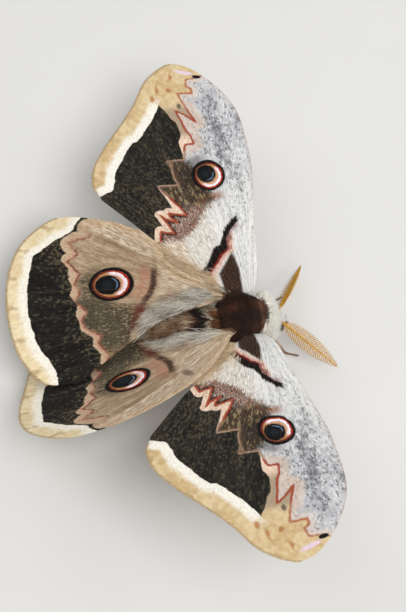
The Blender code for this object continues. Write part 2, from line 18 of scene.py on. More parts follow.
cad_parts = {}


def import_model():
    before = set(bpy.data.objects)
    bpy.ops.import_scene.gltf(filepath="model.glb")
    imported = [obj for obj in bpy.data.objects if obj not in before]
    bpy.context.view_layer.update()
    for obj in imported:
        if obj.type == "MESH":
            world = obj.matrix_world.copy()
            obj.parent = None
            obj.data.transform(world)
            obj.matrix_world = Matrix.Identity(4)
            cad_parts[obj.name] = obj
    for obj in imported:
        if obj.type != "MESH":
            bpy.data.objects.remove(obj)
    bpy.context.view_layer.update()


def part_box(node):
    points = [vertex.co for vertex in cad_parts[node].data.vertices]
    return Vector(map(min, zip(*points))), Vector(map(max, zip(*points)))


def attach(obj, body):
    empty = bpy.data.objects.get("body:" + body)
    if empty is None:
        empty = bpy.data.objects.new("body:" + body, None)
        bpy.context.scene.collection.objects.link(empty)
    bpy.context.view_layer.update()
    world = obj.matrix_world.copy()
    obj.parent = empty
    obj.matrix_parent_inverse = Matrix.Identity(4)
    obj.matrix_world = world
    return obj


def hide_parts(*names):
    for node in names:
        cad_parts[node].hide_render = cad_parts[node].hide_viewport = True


Array = np.ndarray
Draw = np.random.Generator
Arrays = tuple[Array, Array]
Pair = tuple[float, float]
Triple = tuple[float, float, float]
Colour = Triple

LOG = logging.getLogger("moth")
SEED = 20
SPAN_STEPS = 24
MAP_SCALE = 0.01
BAKE_SCALE = 0.0102
BAKE_CORNER = np.array([0.05, 0.14])
TUFT_PATCH = 0.003


class Side(Enum):
    """The moth's own two sides, as the sign of X."""

    LEFT = 1
    RIGHT = -1


class Part(Enum):
    """Masses of the body, in the order in which their fields are compared."""

    THORAX = 0
    COLLAR = 1
    HEAD = 2
    ABDOMEN = 3
    LEG = 4


def linear(red: float, green: float, blue: float) -> tuple[float, float, float, float]:
    """Turns a display colour of 0 to 255 into the linear colour that shaders use.

    Args:
        red: red of 0 to 255.
        green: green of 0 to 255.
        blue: blue of 0 to 255.

    Returns:
        Linear red, green, blue and an alpha of 1.
    """
    share = np.array([red, green, blue], float) / 255
    value = np.where(share <= 0.04045, share / 12.92, ((share + 0.055) / 1.055) ** 2.4)
    return (float(value[0]), float(value[1]), float(value[2]), 1.0)


def rgb(colour: Colour) -> Array:
    """Returns a display colour of 0 to 255 as three linear numbers."""
    return np.array(linear(*colour)[:3])


def blend(base: Array, share: Array, colour: Colour) -> Array:
    """Mixes a display colour into one linear colour or many, by its share at each point."""
    return base + share[:, None] * (rgb(colour) - base)


def unit(vectors: Array) -> Array:
    """Scales vectors to length one along the last axis."""
    return vectors / np.maximum(np.linalg.norm(vectors, axis=-1, keepdims=True), 1e-12)


def turn(axis: int, degrees: float) -> Array:
    """Makes the matrix of a turn about a coordinate axis.

    Args:
        axis: 0, 1 or 2 for X, Y or Z.
        degrees: the angle, positive anticlockwise seen from the axis' tip.

    Returns:
        A 3 by 3 rotation matrix.
    """
    return np.array(Matrix.Rotation(math.radians(degrees), 3, "XYZ"[axis]))


def step(values: Array, low: float, high: float) -> Array:
    """Rises smoothly from 0 at low to 1 at high: three t squared less two t cubed."""
    t = np.clip((values - low) / (high - low), 0, 1)
    return t * t * (3 - 2 * t)


def extended(rows: Array) -> Array:
    """Adds a row before the first and after the last, each as far on as the row beside it."""
    return np.concatenate([[2 * rows[0] - rows[1]], rows, [2 * rows[-1] - rows[-2]]])


def cubic(four: Sequence[Array], t: Array) -> Array:
    """Joins the second of four points to the third by the Catmull-Rom cubic.

    Its slope at either end is half the difference of the points on either side of it.

    Args:
        four: four neighbouring points, as arrays.
        t: shares of the way from the second to the third.

    Returns:
        The points of the curve.
    """
    a, b, c, d = four
    return 0.5 * (2 * b + (c - a) * t + (2 * a - 5 * b + 4 * c - d) * t**2 + (3 * b - a - 3 * c + d) * t**3)


def lengths_along(line: Array) -> Array:
    """Returns the length run along a broken line up to each of its points."""
    return np.concatenate([[0], np.cumsum(np.linalg.norm(np.diff(line, axis=0), axis=1))])


def read_along(line: Array, at: Array) -> Array:
    """Returns the points of a broken line at the given lengths along it."""
    run = lengths_along(line)
    return np.stack([np.interp(at, run, line[:, k]) for k in range(line.shape[1])], -1)


def smooth_path(points: Sequence, count: int) -> Array:
    """Carries a Catmull-Rom curve through points and samples it evenly by length.

    Each span is drawn with SPAN_STEPS points, and the whole is then re-read at equal steps of its length.

    Args:
        points: control points, one a row.
        count: how many samples to return.

    Returns:
        The samples, one a row.
    """
    p = np.asarray(points, float)
    ends = extended(p)
    t = np.linspace(0, 1, SPAN_STEPS, endpoint=False)[None, :, None]
    spans = cubic([ends[i : len(ends) - 3 + i][:, None] for i in range(4)], t)
    curve = np.concatenate([spans.reshape(-1, p.shape[1]), p[-1:]])
    return read_along(curve, np.linspace(0, lengths_along(curve)[-1], count))


def line_distance(points: Array, line: Array) -> Array:
    """Measures the distance from each point to a broken line.

    Each point is dropped onto every segment, clamped to its ends, and the nearest foot counts.

    Args:
        points: plane points, any shape with two last entries.
        line: corners of the broken line, one a row.

    Returns:
        Distances, with the points' shape less its last axis.
    """
    a, b = np.asarray(line[:-1], float), np.asarray(line[1:], float)
    ahead = b - a
    best = np.full(points.shape[:-1], 1e9)
    for start, way in zip(a, ahead):
        share = np.clip(((points - start) @ way) / max(way @ way, 1e-12), 0, 1)
        best = np.minimum(best, np.linalg.norm(points - start - share[..., None] * way, axis=-1))
    return best


def inside(points: Array, corners: Array) -> Array:
    """Tells which points lie in a polygon by counting crossings of a ray along +X.

    Args:
        points: plane points, any shape with two last entries.
        corners: the polygon's corners, one a row.

    Returns:
        True where a point is inside.
    """
    x, y = points[..., 0], points[..., 1]
    odd = np.zeros(points.shape[:-1], bool)
    a = np.asarray(corners, float)
    for (x0, y0), (x1, y1) in zip(a, np.roll(a, -1, axis=0)):
        if y0 != y1:
            odd ^= ((y0 > y) != (y1 > y)) & (x < (x1 - x0) * (y - y0) / (y1 - y0) + x0)
    return odd


def signed(points: Array, line: tuple, far: tuple = ()) -> Array:
    """Measures the distance to a line, positive on the side that the far corners close.

    Args:
        points: plane points, any shape with two last entries.
        line: corners of the line.
        far: corners that close the line into a polygon round its positive side.

    Returns:
        Signed distances.
    """
    distance = line_distance(points, np.array(line, float))
    return np.where(inside(points, np.array([*line, *far], float)), distance, -distance)


@dataclass(frozen=True)
class Place:
    """Turns the moth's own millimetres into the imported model's metres."""

    shift: Array

    @classmethod
    def of_frame(cls, eye: Triple) -> "Place":
        """Finds the shift from the middle of the left eye's node and its own place."""
        low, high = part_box("eye_left")
        return cls(np.array((low + high) / 2) * 1000 - np.array(eye))

    def metres(self, points: Array) -> Array:
        """Returns own millimetres as the model's metres."""
        return (np.asarray(points, float) + self.shift) / 1000


@dataclass
class MeshPiece:
    """A mesh in the making: points in own millimetres, triangles, and values at its points or corners."""

    name: str
    points: Array
    faces: Array
    floats: dict[str, Array] = field(default_factory=dict)
    colours: dict[str, Array] = field(default_factory=dict)
    maps: dict[str, Array] = field(default_factory=dict)

    def build(self, place: Place) -> bpy.types.Object:
        """Writes the arrays into a mesh object that stands at the origin.

        Args:
            place: the change to the model's metres.

        Returns:
            The new object, linked to the scene.
        """
        mesh = bpy.data.meshes.new(self.name)
        sides = self.faces.shape[1]
        mesh.vertices.add(len(self.points))
        mesh.vertices.foreach_set("co", place.metres(self.points).ravel())
        mesh.loops.add(self.faces.size)
        mesh.loops.foreach_set("vertex_index", self.faces.ravel().astype(np.int32))
        mesh.polygons.add(len(self.faces))
        mesh.polygons.foreach_set("loop_start", np.arange(0, self.faces.size, sides, dtype=np.int32))
        mesh.update(calc_edges=True)
        mesh.polygons.foreach_set("use_smooth", np.full(len(self.faces), True))
        for label, values in self.floats.items():
            mesh.attributes.new(label, "FLOAT", "POINT").data.foreach_set("value", values.ravel())
        for label, values in self.colours.items():
            full = np.concatenate([values[:, :3], np.ones((len(values), 1))], 1)
            mesh.attributes.new(label, "FLOAT_COLOR", "POINT").data.foreach_set("color", full.ravel())
        for label, values in self.maps.items():
            mesh.uv_layers.new(name=label).data.foreach_set("uv", values.ravel())
        return linked(self.name, mesh)


def linked(name: str, data: bpy.types.ID) -> bpy.types.Object:
    """Makes an object of some data and links it to the scene.

    Args:
        name: the object's name.
        data: its mesh, light or camera.

    Returns:
        The object.
    """
    obj = bpy.data.objects.new(name, data)
    bpy.context.scene.collection.objects.link(obj)
    return obj


def hang(piece: bpy.types.Object, finish: bpy.types.Material, nodes: tuple[str, ...] = ()) -> None:
    """Gives a piece its finish, sets it on the body and hides the nodes that it replaces.

    Args:
        piece: the finished object.
        finish: its material.
        nodes: the nodes that it replaces.
    """
    piece.data.materials.clear()
    piece.data.materials.append(finish)
    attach(piece, "root")
    if nodes:
        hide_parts(*nodes)
    LOG.info("%s: %d faces", piece.name, len(piece.data.polygons))


class Value:
    """A shader socket that takes part in Python arithmetic."""

    def __init__(self, shader: "Shader", socket: bpy.types.NodeSocket) -> None:
        """Keeps the shader that the socket belongs to."""
        self.shader = shader
        self.socket = socket

    def maths(self, operation: str, *others: object) -> "Value":
        """Adds a Math node with these inputs."""
        return self.shader.node("ShaderNodeMath", {"operation": operation}, dict(enumerate(others)))

    def __add__(self, other: object) -> "Value":
        """Returns the sum."""
        return self.maths("ADD", self, other)

    __radd__ = __add__

    def __sub__(self, other: object) -> "Value":
        """Returns the difference."""
        return self.maths("SUBTRACT", self, other)

    def __rsub__(self, other: object) -> "Value":
        """Returns the difference from a number."""
        return self.maths("SUBTRACT", other, self)

    def __mul__(self, other: object) -> "Value":
        """Returns the product."""
        return self.maths("MULTIPLY", self, other)

    __rmul__ = __mul__

    def __truediv__(self, other: object) -> "Value":
        """Returns the quotient."""
        return self.maths("DIVIDE", self, other)

    def __rtruediv__(self, other: object) -> "Value":
        """Returns a number divided by this."""
        return self.maths("DIVIDE", other, self)

    def __abs__(self) -> "Value":
        """Returns the size without its sign."""
        return self.maths("ABSOLUTE", self)

    def __pow__(self, other: object) -> "Value":
        """Returns the power."""
        return self.maths("POWER", self, other)

    def __rpow__(self, other: object) -> "Value":
        """Returns a number raised to this."""
        return self.maths("POWER", other, self)

    def up(self, low: float, high: float) -> "Value":
        """Rises smoothly from 0 at low to 1 at high."""
        kind = {"interpolation_type": "SMOOTHSTEP", "clamp": True}
        return self.shader.node("ShaderNodeMapRange", kind, {0: self, 1: low, 2: high, 3: 0.0, 4: 1.0})

    def down(self, low: float, high: float) -> "Value":
        """Falls smoothly from 1 at low to 0 at high."""
        return 1 - self.up(low, high)

    def band(self, low: float, high: float, soft: float) -> "Value":
        """Is 1 between low and high, with soft edges."""
        return self.up(low - soft, low + soft) * self.down(high - soft, high + soft)


class Shader:
    """A material whose nodes are added by Python expressions."""

    def __init__(self, name: str) -> None:
        """Starts an empty node material.

        Args:
            name: the material's name.
        """
        self.material = bpy.data.materials.new(name)
        self.material.use_nodes = True
        self.tree = self.material.node_tree
        self.tree.nodes.clear()

    def node(self, kind: str, settings: dict, inputs: dict, output: object = 0) -> Value:
        """Adds a node: its settings first, then its inputs.

        Args:
            kind: the node's type.
            settings: its properties by name.
            inputs: values or sockets by the input's name or number.
            output: the output to return, by name or number.

        Returns:
            The chosen output.
        """
        made = self.tree.nodes.new(kind)
        for label, value in settings.items():
            setattr(made, label, value)
        for label, value in inputs.items():
            if isinstance(value, Value):
                self.tree.links.new(value.socket, made.inputs[label])
            else:
                made.inputs[label].default_value = value
        return Value(self, made.outputs[output])

    def attribute(self, label: str) -> Value:
        """Reads a number kept at the mesh's points."""
        return self.node("ShaderNodeAttribute", {"attribute_name": label}, {}, "Fac")

    def tint(self, label: str) -> Value:
        """Reads a colour kept at the mesh's points."""
        return self.node("ShaderNodeAttribute", {"attribute_name": label}, {}, "Color")

    def mix(self, share: object, first: object, second: object) -> Value:
        """Blends two colours, each a socket or a display colour of 0 to 255."""
        pair = [colour if isinstance(colour, Value) else linear(*colour) for colour in (first, second)]
        return self.node("ShaderNodeMix", {"data_type": "RGBA"}, {0: share, 6: pair[0], 7: pair[1]}, 2)

    def vector(self, x: object, y: object, z: object = 0.0) -> Value:
        """Joins three numbers into a vector."""
        return self.node("ShaderNodeCombineXYZ", {}, {0: x, 1: y, 2: z})

    def noise(self, where: Value, scale: float, detail: float = 2.0, rough: float = 0.5) -> Value:
        """Reads soft noise at a place."""
        inputs = {"Vector": where, "Scale": scale, "Detail": detail, "Roughness": rough}
        return self.node("ShaderNodeTexNoise", {}, inputs)

    def cells(self, where: Value, scale: float) -> Value:
        """Gives each cell of a Voronoi pattern a random colour of its own."""
        inputs = {"Vector": where, "Scale": scale}
        return self.node("ShaderNodeTexVoronoi", {"feature": "F1"}, inputs, "Color")

    def split(self, source: Value, part: int) -> Value:
        """Returns one number of a vector or colour."""
        return self.node("ShaderNodeSeparateXYZ", {}, {0: source}, part)

    def place(self, scale: float) -> Value:
        """Reads the place in the object in millimetres, times a scale."""
        where = self.node("ShaderNodeTexCoord", {}, {}, "Object")
        return self.node("ShaderNodeVectorMath", {"operation": "SCALE"}, {0: where, "Scale": 1000 * scale})

    def finish(self, colour: object, fixed: dict[str, float], bump: Value | None = None,
               depth: float = 0.1, rough: Value | None = None) -> bpy.types.Material:
        """Closes the material with a Principled surface.

        Args:
            colour: base colour, or its socket.
            fixed: constants of the surface by input name.
            bump: height of small relief, if any.
            depth: the relief's depth in millimetres.
            rough: roughness that changes over the surface, if any.

        Returns:
            The finished material.
        """
        inputs: dict[str, object] = {"Base Color": colour, **fixed}
        if rough is not None:
            inputs["Roughness"] = rough
        if bump is not None:
            relief = {"Strength": 1.0, "Distance": depth / 1000, "Height": bump}
            inputs["Normal"] = self.node("ShaderNodeBump", {}, relief, "Normal")
        surface = self.node("ShaderNodeBsdfPrincipled", {}, inputs)
        output = self.tree.nodes.new("ShaderNodeOutputMaterial")
        self.tree.links.new(surface.socket, output.inputs["Surface"])
        return self.material


@dataclass(frozen=True)
class Eyespot:
    """A ringed spot: middle, half axes and tilt on the wing's plan, and the way its crescent faces."""

    middle: Pair
    half: Pair
    tilt: float
    facing: Pair
    heavy: float = 0.0

    def paint(self, s: Shader, u: Value, v: Value, ragged: Value, under: Value) -> Value:
        """Lays the rings over a colour, from the outer black to the glint in the pupil.

        The spot's radius is the length of the tilted, scaled offset from its middle; each ring is the disc
        inside a share of it, painted over the last. The pupil stands off the middle, away from the crescent.

        Args:
            s: the shader.
            u: place along the wing.
            v: place across the wing.
            ragged: small noise about zero that breaks the edges.
            under: the colour that the spot lies on.

        Returns:
            The colour with the spot.
        """
        cosine, sine = math.cos(math.radians(self.tilt)), math.sin(math.radians(self.tilt))
        du, dv = u - self.middle[0], v - self.middle[1]
        x = (du * cosine + dv * sine) / self.half[0]
        y = (dv * cosine - du * sine) / self.half[1]
        radius = (x * x + y * y) ** 0.5
        toward = (x * self.facing[0] + y * self.facing[1]) / (radius + 0.001)
        r = radius + ragged * 0.06
        rim = self.heavy * toward
        colour = s.mix(r.down(0.98, 1.06), under, (16, 13, 14))
        red = s.mix(toward.up(-0.6, 0.6), (112, 44, 30), (170, 52, 34))
        colour = s.mix((r + rim).down(0.815, 0.855), colour, red)
        ochre = s.mix(toward.up(-0.3, 0.3), (182, 134, 86), (206, 158, 122))
        colour = s.mix((r + rim).down(0.72, 0.76), colour, ochre)
        moon = (r + rim).band(0.565, 0.735, 0.02) * toward.up(-0.05, 0.30)
        colour = s.mix(moon, colour, s.mix(r.up(0.62, 0.72), (240, 214, 218), (252, 250, 252)))
        off_x, off_y = x + 0.17 * self.facing[0], y + 0.17 * self.facing[1]
        pupil = (off_x * off_x + off_y * off_y) ** 0.5 + ragged * 0.05
        colour = s.mix(pupil.down(0.60, 0.66) * 0.5, colour, (120, 84, 56))
        dark = s.mix(pupil.up(0.1, 0.4), (28, 34, 38), (14, 14, 17))
        colour = s.mix(pupil.down(0.55, 0.59), colour, dark)
        glint = pupil.band(0.40, 0.46, 0.03) * toward.up(0.1, 0.7)
        return s.mix(glint * 0.65, colour, (128, 156, 184))


@dataclass(frozen=True)
class WingShape:
    """Plan of a wing: its veins from root to margin, leading edge first, and the lines of its pattern."""

    veins: tuple[tuple[Pair, ...], ...]
    border: tuple[Pair, ...]
    zigzag: tuple[Pair, ...]
    rust: tuple[Pair, ...]
    basal: tuple[Pair, ...]
    root: tuple[Pair, ...]
    per_cell: int
    stations: int


@dataclass(frozen=True)
class WingPose:
    """How a wing is held: turns at its hinge, bends of its plane and the dip of its root."""

    side: Side
    base: Triple
    sweep: float
    dihedral: float
    pitch: float
    bends: Triple
    dip: Pair
    level: Pair = (99.0, 0.0)

    @property
    def held(self) -> Array:
        """The turn of the wing's plane: pitch, then dihedral, then sweep."""
        return turn(2, self.sweep) @ turn(1, -self.dihedral) @ turn(0, self.pitch)

    def sag(self, u: Array, v: Array) -> Array:
        """Height of the bent plane: a u^2 + b u v + c v^2, a levelling past a line, less the root's dip.

        Args:
            u: place along the wing.
            v: place across it.

        Returns:
            Heights in millimetres.
        """
        a, b, c = self.bends
        height = (a * u * u + b * u * v + c * v * v) / 1000
        height = height + self.level[1] / 1000 * np.clip(v - self.level[0], 0, None) ** 2
        return height - self.dip[0] * np.clip(1 - u / self.dip[1], 0, None) ** 2

    def put(self, plan: Array, rise: Array | float) -> Array:
        """Places plan points, raised off the plane, on the body.

        Args:
            plan: points along and across the wing.
            rise: height off the bent plane.

        Returns:
            Points in own millimetres.
        """
        u, v = plan[..., 0], plan[..., 1]
        local = np.stack([u, v, self.sag(u, v) + rise], -1)
        world = local @ self.held.T + np.array(self.base)
        world[..., 0] *= self.side.value
        return world

    def read(self, points: Array) -> Arrays:
        """Undoes put: returns plan points, and heights above the bent plane, of points of the body.

        Args:
            points: points in own millimetres.

        Returns:
            Plan points, and heights.
        """
        flipped = points * np.array([self.side.value, 1, 1]) - np.array(self.base)
        local = flipped @ self.held
        return local[..., :2], local[..., 2] - self.sag(local[..., 0], local[..., 1])


FORE_SHAPE = WingShape(
    veins=(
        ((-1.5, -3.2), (9, -5.2), (19, -7.2), (29, -9.4)),
        ((-1.5, -2.6), (10, -4.2), (22, -6.2), (37.5, -10.7)),
        ((-1.5, -1.9), (12, -2.6), (30, -4.6), (52.5, -10.4)),
        ((-1.5, -1.2), (14, -1.2), (36, -2.2), (64.0, -4.5)),
        ((-1.5, -0.5), (14, 0.0), (36, -0.6), (70.0, 3.2)),
        ((-1.5, 0.2), (15, 1.2), (36, 1.6), (66.4, 11.4)),
        ((-1.5, 0.9), (15, 2.5), (35, 5.0), (59.0, 16.8)),
        ((-1.5, 1.6), (14, 3.9), (33, 9.4), (52.8, 22.1)),
        ((-1.5, 2.3), (13, 5.2), (29, 12.4), (47.2, 27.4)),
        ((-1.5, 3.0), (12, 6.8), (25, 15.2), (41.5, 31.6)),
        ((-1.5, 3.7), (10, 8.6), (20, 17.4), (36.4, 33.0)),
        ((-1.5, 4.6), (8, 10.2), (18, 20.6), (31.6, 31.8)),
    ),
    border=(
        (60.5, 7.5), (58, 10.2), (55.5, 11.4), (52.3, 13.9), (49.9, 16.1), (47.8, 17.9), (46.5, 20.5),
        (44.3, 22.5), (41.9, 24.2), (39.2, 26.3), (36, 27.4), (33.6, 28.5), (33.4, 30.2), (32.4, 32.4),
    ),
    zigzag=(
        (90.0, 14.0), (58.6, 10.2), (57.2, 10.2), (55.1, 8.8), (52.4, 8.0), (51.0, 6.9), (48.9, 6.5),
        (46.8, 6.5), (44.7, 7.7), (42.3, 7.5), (39.3, 7.5), (39.7, 12.5), (37.4, 11.6), (34.4, 11.6),
        (32.2, 11.0), (32.8, 16.5), (30.6, 15.9), (29.2, 15.2), (25.6, 13.9), (26.1, 15.3),
        (26.5, 16.9), (26.3, 18.9), (25.0, 19.6), (23.6, 18.7), (21.9, 18.1), (20.1, 17.3),
        (21.3, 19.1), (21.4, 20.7), (20.1, 21.2), (18.0, 21.4),
    ),
    rust=(
        (64.3, -3.0), (64.2, 0.9), (62.0, 1.6), (60.9, 0.2), (59.5, 0.4), (60.2, 4.4), (57.6, 3.9),
        (53.8, 2.8), (50.1, 1.5), (53.0, 4.1), (54.9, 6.3), (50.8, 5.4), (48.2, 5.0), (46.0, 4.0),
        (43.6, 3.7), (43.8, 6.0), (42.2, 6.8), (38.9, 7.2), (39.2, 8.8), (39.4, 12.3), (37.4, 11.3),
        (34.4, 11.3), (31.8, 10.6), (32.0, 13.0), (32.4, 16.2), (29.7, 14.7), (26.6, 12.9),
        (25.2, 11.9), (22.6, 10.8), (23.5, 13.3), (24.2, 15.4), (22.9, 15.1), (21.1, 13.5),
        (22.5, 16.0), (24.0, 17.6), (21.2, 16.3), (18.2, 15.2), (18.7, 16.9), (19.4, 18.6),
        (16.5, 19.3),
    ),
    basal=(
        (20.6, -3.6), (19.8, -1.7), (18.4, 0.2), (16.4, 2.2), (14.2, 3.1), (12.6, 3.9), (11.9, 5.9),
        (10.2, 7.0), (7.9, 8.6), (6.0, 10.6), (4.7, 11.2), (2.8, 12.0),
    ),
    root=(
        (19.2, -3.6), (17.8, -1.5), (15.7, 0.6), (14.0, 1.9), (11.3, 2.2), (10.0, 4.4), (8.6, 5.6),
        (6.2, 7.9), (4.7, 8.9), (2.0, 10.0),
    ),
    per_cell=13,
    stations=160,
)
HIND_SHAPE = WingShape(
    veins=(
        ((-2.4, -1.4), (4.5, -6.4), (10, -9.8), (17, -11.3)),
        ((-2.4, -1.0), (8, -6.2), (18, -9.2), (33, -11.9)),
        ((-2.4, -0.6), (10, -3.8), (24, -6.0), (46.6, -9.7)),
        ((-2.4, -0.2), (11, -1.9), (26, -2.8), (52.9, -2.0)),
        ((-2.4, 0.2), (11, -0.3), (26, 1.2), (53.6, 5.6)),
        ((-2.4, 0.6), (11, 1.2), (25, 5.2), (51.4, 13.2)),
        ((-2.4, 1.0), (10, 2.8), (23, 8.8), (47.2, 20.8)),
        ((-2.4, 1.5), (9.5, 4.4), (20, 12.6), (41.2, 28.0)),
        ((-2.4, 2.0), (8.5, 5.8), (16.4, 15.6), (33.4, 32.6)),
        ((-2.4, 2.6), (8, 6.6), (14.4, 13.6), (26.4, 30.8)),
    ),
    border=(
        (40.6, -12.6), (41.8, -9.1), (42.0, -7.4), (42.9, -5.9), (44.6, -4.4), (46.0, -2.9),
        (47.2, -0.9), (48.2, 0.7), (49.5, 2.2), (49.0, 3.8), (48.1, 7.6), (47.1, 10.7), (45.7, 13.9),
        (44.0, 17.1), (42.2, 19.6), (40.6, 21.6), (39.0, 23.6), (36.9, 25.5), (34.6, 27.0),
        (32.4, 28.8), (31.0, 30.6),
    ),
    zigzag=(
        (41.0, -9.0), (41.9, -6.4), (43.8, -4.2), (44.2, -2.2), (42.4, -0.4), (42.4, 1.6), (39.4, 3.4),
        (38.9, 5.6), (36.9, 7.4), (36.4, 10.2), (33.8, 11.8), (33.2, 14.4), (31.6, 16.0), (30.4, 18.2),
        (27.0, 19.0), (26.2, 21.2), (23.6, 22.6), (23.0, 25.0), (20.8, 25.8), (20.2, 28.6),
    ),
    rust=(
        (36.0, -13.5), (35.2, -10.2), (38.6, -8.6), (36.8, -6.6), (42.0, -3.7), (38.3, -1.2),
        (40.4, 1.3), (35.8, 3.8), (36.2, 6.5), (34.0, 8.3), (34.3, 11.0), (30.4, 12.8), (31.0, 15.2),
        (29.0, 17.1), (24.9, 17.8), (25.0, 19.9), (21.5, 22.0), (21.3, 25.1), (19.0, 26.0),
    ),
    basal=(
        (17.8, -4.5), (16.9, -1.7), (16.0, 1.6), (16.3, 4.4), (17.0, 6.5), (16.8, 9.9), (16.1, 13.8),
        (15.0, 18.0),
    ),
    root=((17.6, 8.0), (17.0, 10.0), (16.2, 12.2), (15.0, 14.6)),
    per_cell=15,
    stations=140,
)
DISTANCES = ("vein", "cell", "margin", "front")
LINES = ("border", "zigzag", "rust", "basal", "root")
FAR = ((20, 60), (90, 60), (90, -20))
MEDIAN = (
    (90, 12), (41, 12), (39.5, 7.5), (36.5, 5.5), (33.3, 2.1), (29, 2.8), (26.2, 1.2), (24.7, 3.4),
    (22.6, 6.5), (20.1, 7.7), (17.9, 10.1), (16, 13.5), (16.2, 19),
)
NOOK = ((10, 1.3), (7.3, 3.8), (4.6, 6.1), (0.8, 5.7), (-1.5, 4.4), (-1.5, 0.9), (5, 0.6), (10, 1.3))
LEFT_INNER_VEIN = ((-1.5, 4.6), (6.5, 13.0), (12.5, 18.4), (18, 21.3), (31.6, 31.8))
LEFT_FORE_SHAPE = replace(FORE_SHAPE, veins=(*FORE_SHAPE.veins[:-1], LEFT_INNER_VEIN))
LEFT_HIND_SHAPE = replace(
    HIND_SHAPE,
    veins=(
        ((-2.4, -1.4), (7, -2.9), (14, -5.0), (18, -9.0), (24, -11.5)),
        ((-2.4, -1.0), (9, -2.5), (18, -5.8), (33, -11.9)),
        ((-2.4, -0.6), (10, -1.9), (24, -5.0), (46.6, -9.7)),
        ((-2.4, -0.2), (11, -1.0), (26, -2.6), (52.9, -2.0)),
        *HIND_SHAPE.veins[4:],
    ),
)
FORE_BASE = (7.2, -2.8, 3.9)
HIND_BASE = (5.2, 6.5, 6.6)
POSES = {
    "forewing_left": WingPose(Side.LEFT, FORE_BASE, 1.7, 8.9, 0.9, (-0.76, -0.49, -0.38), (1.0, 9.0)),
    "forewing_right": WingPose(Side.RIGHT, FORE_BASE, 4.4, 20.9, 4.7, (-0.20, -1.10, -0.62), (1.0, 9.0)),
    "hindwing_left": WingPose(Side.LEFT, HIND_BASE, 59.1, -7.95, -27.9, (0.71, 9.63, 2.90), (3.1, 13.0)),
    "hindwing_right": WingPose(
        Side.RIGHT, HIND_BASE, 62.2, -11.6, -33.1, (5.04, -2.69, 2.61), (2.0, 10.0), (16.0, 20.0)
    ),
}


SHAPES = {
    "forewing_left": LEFT_FORE_SHAPE,
    "forewing_right": FORE_SHAPE,
    "hindwing_left": LEFT_HIND_SHAPE,
    "hindwing_right": HIND_SHAPE,
}


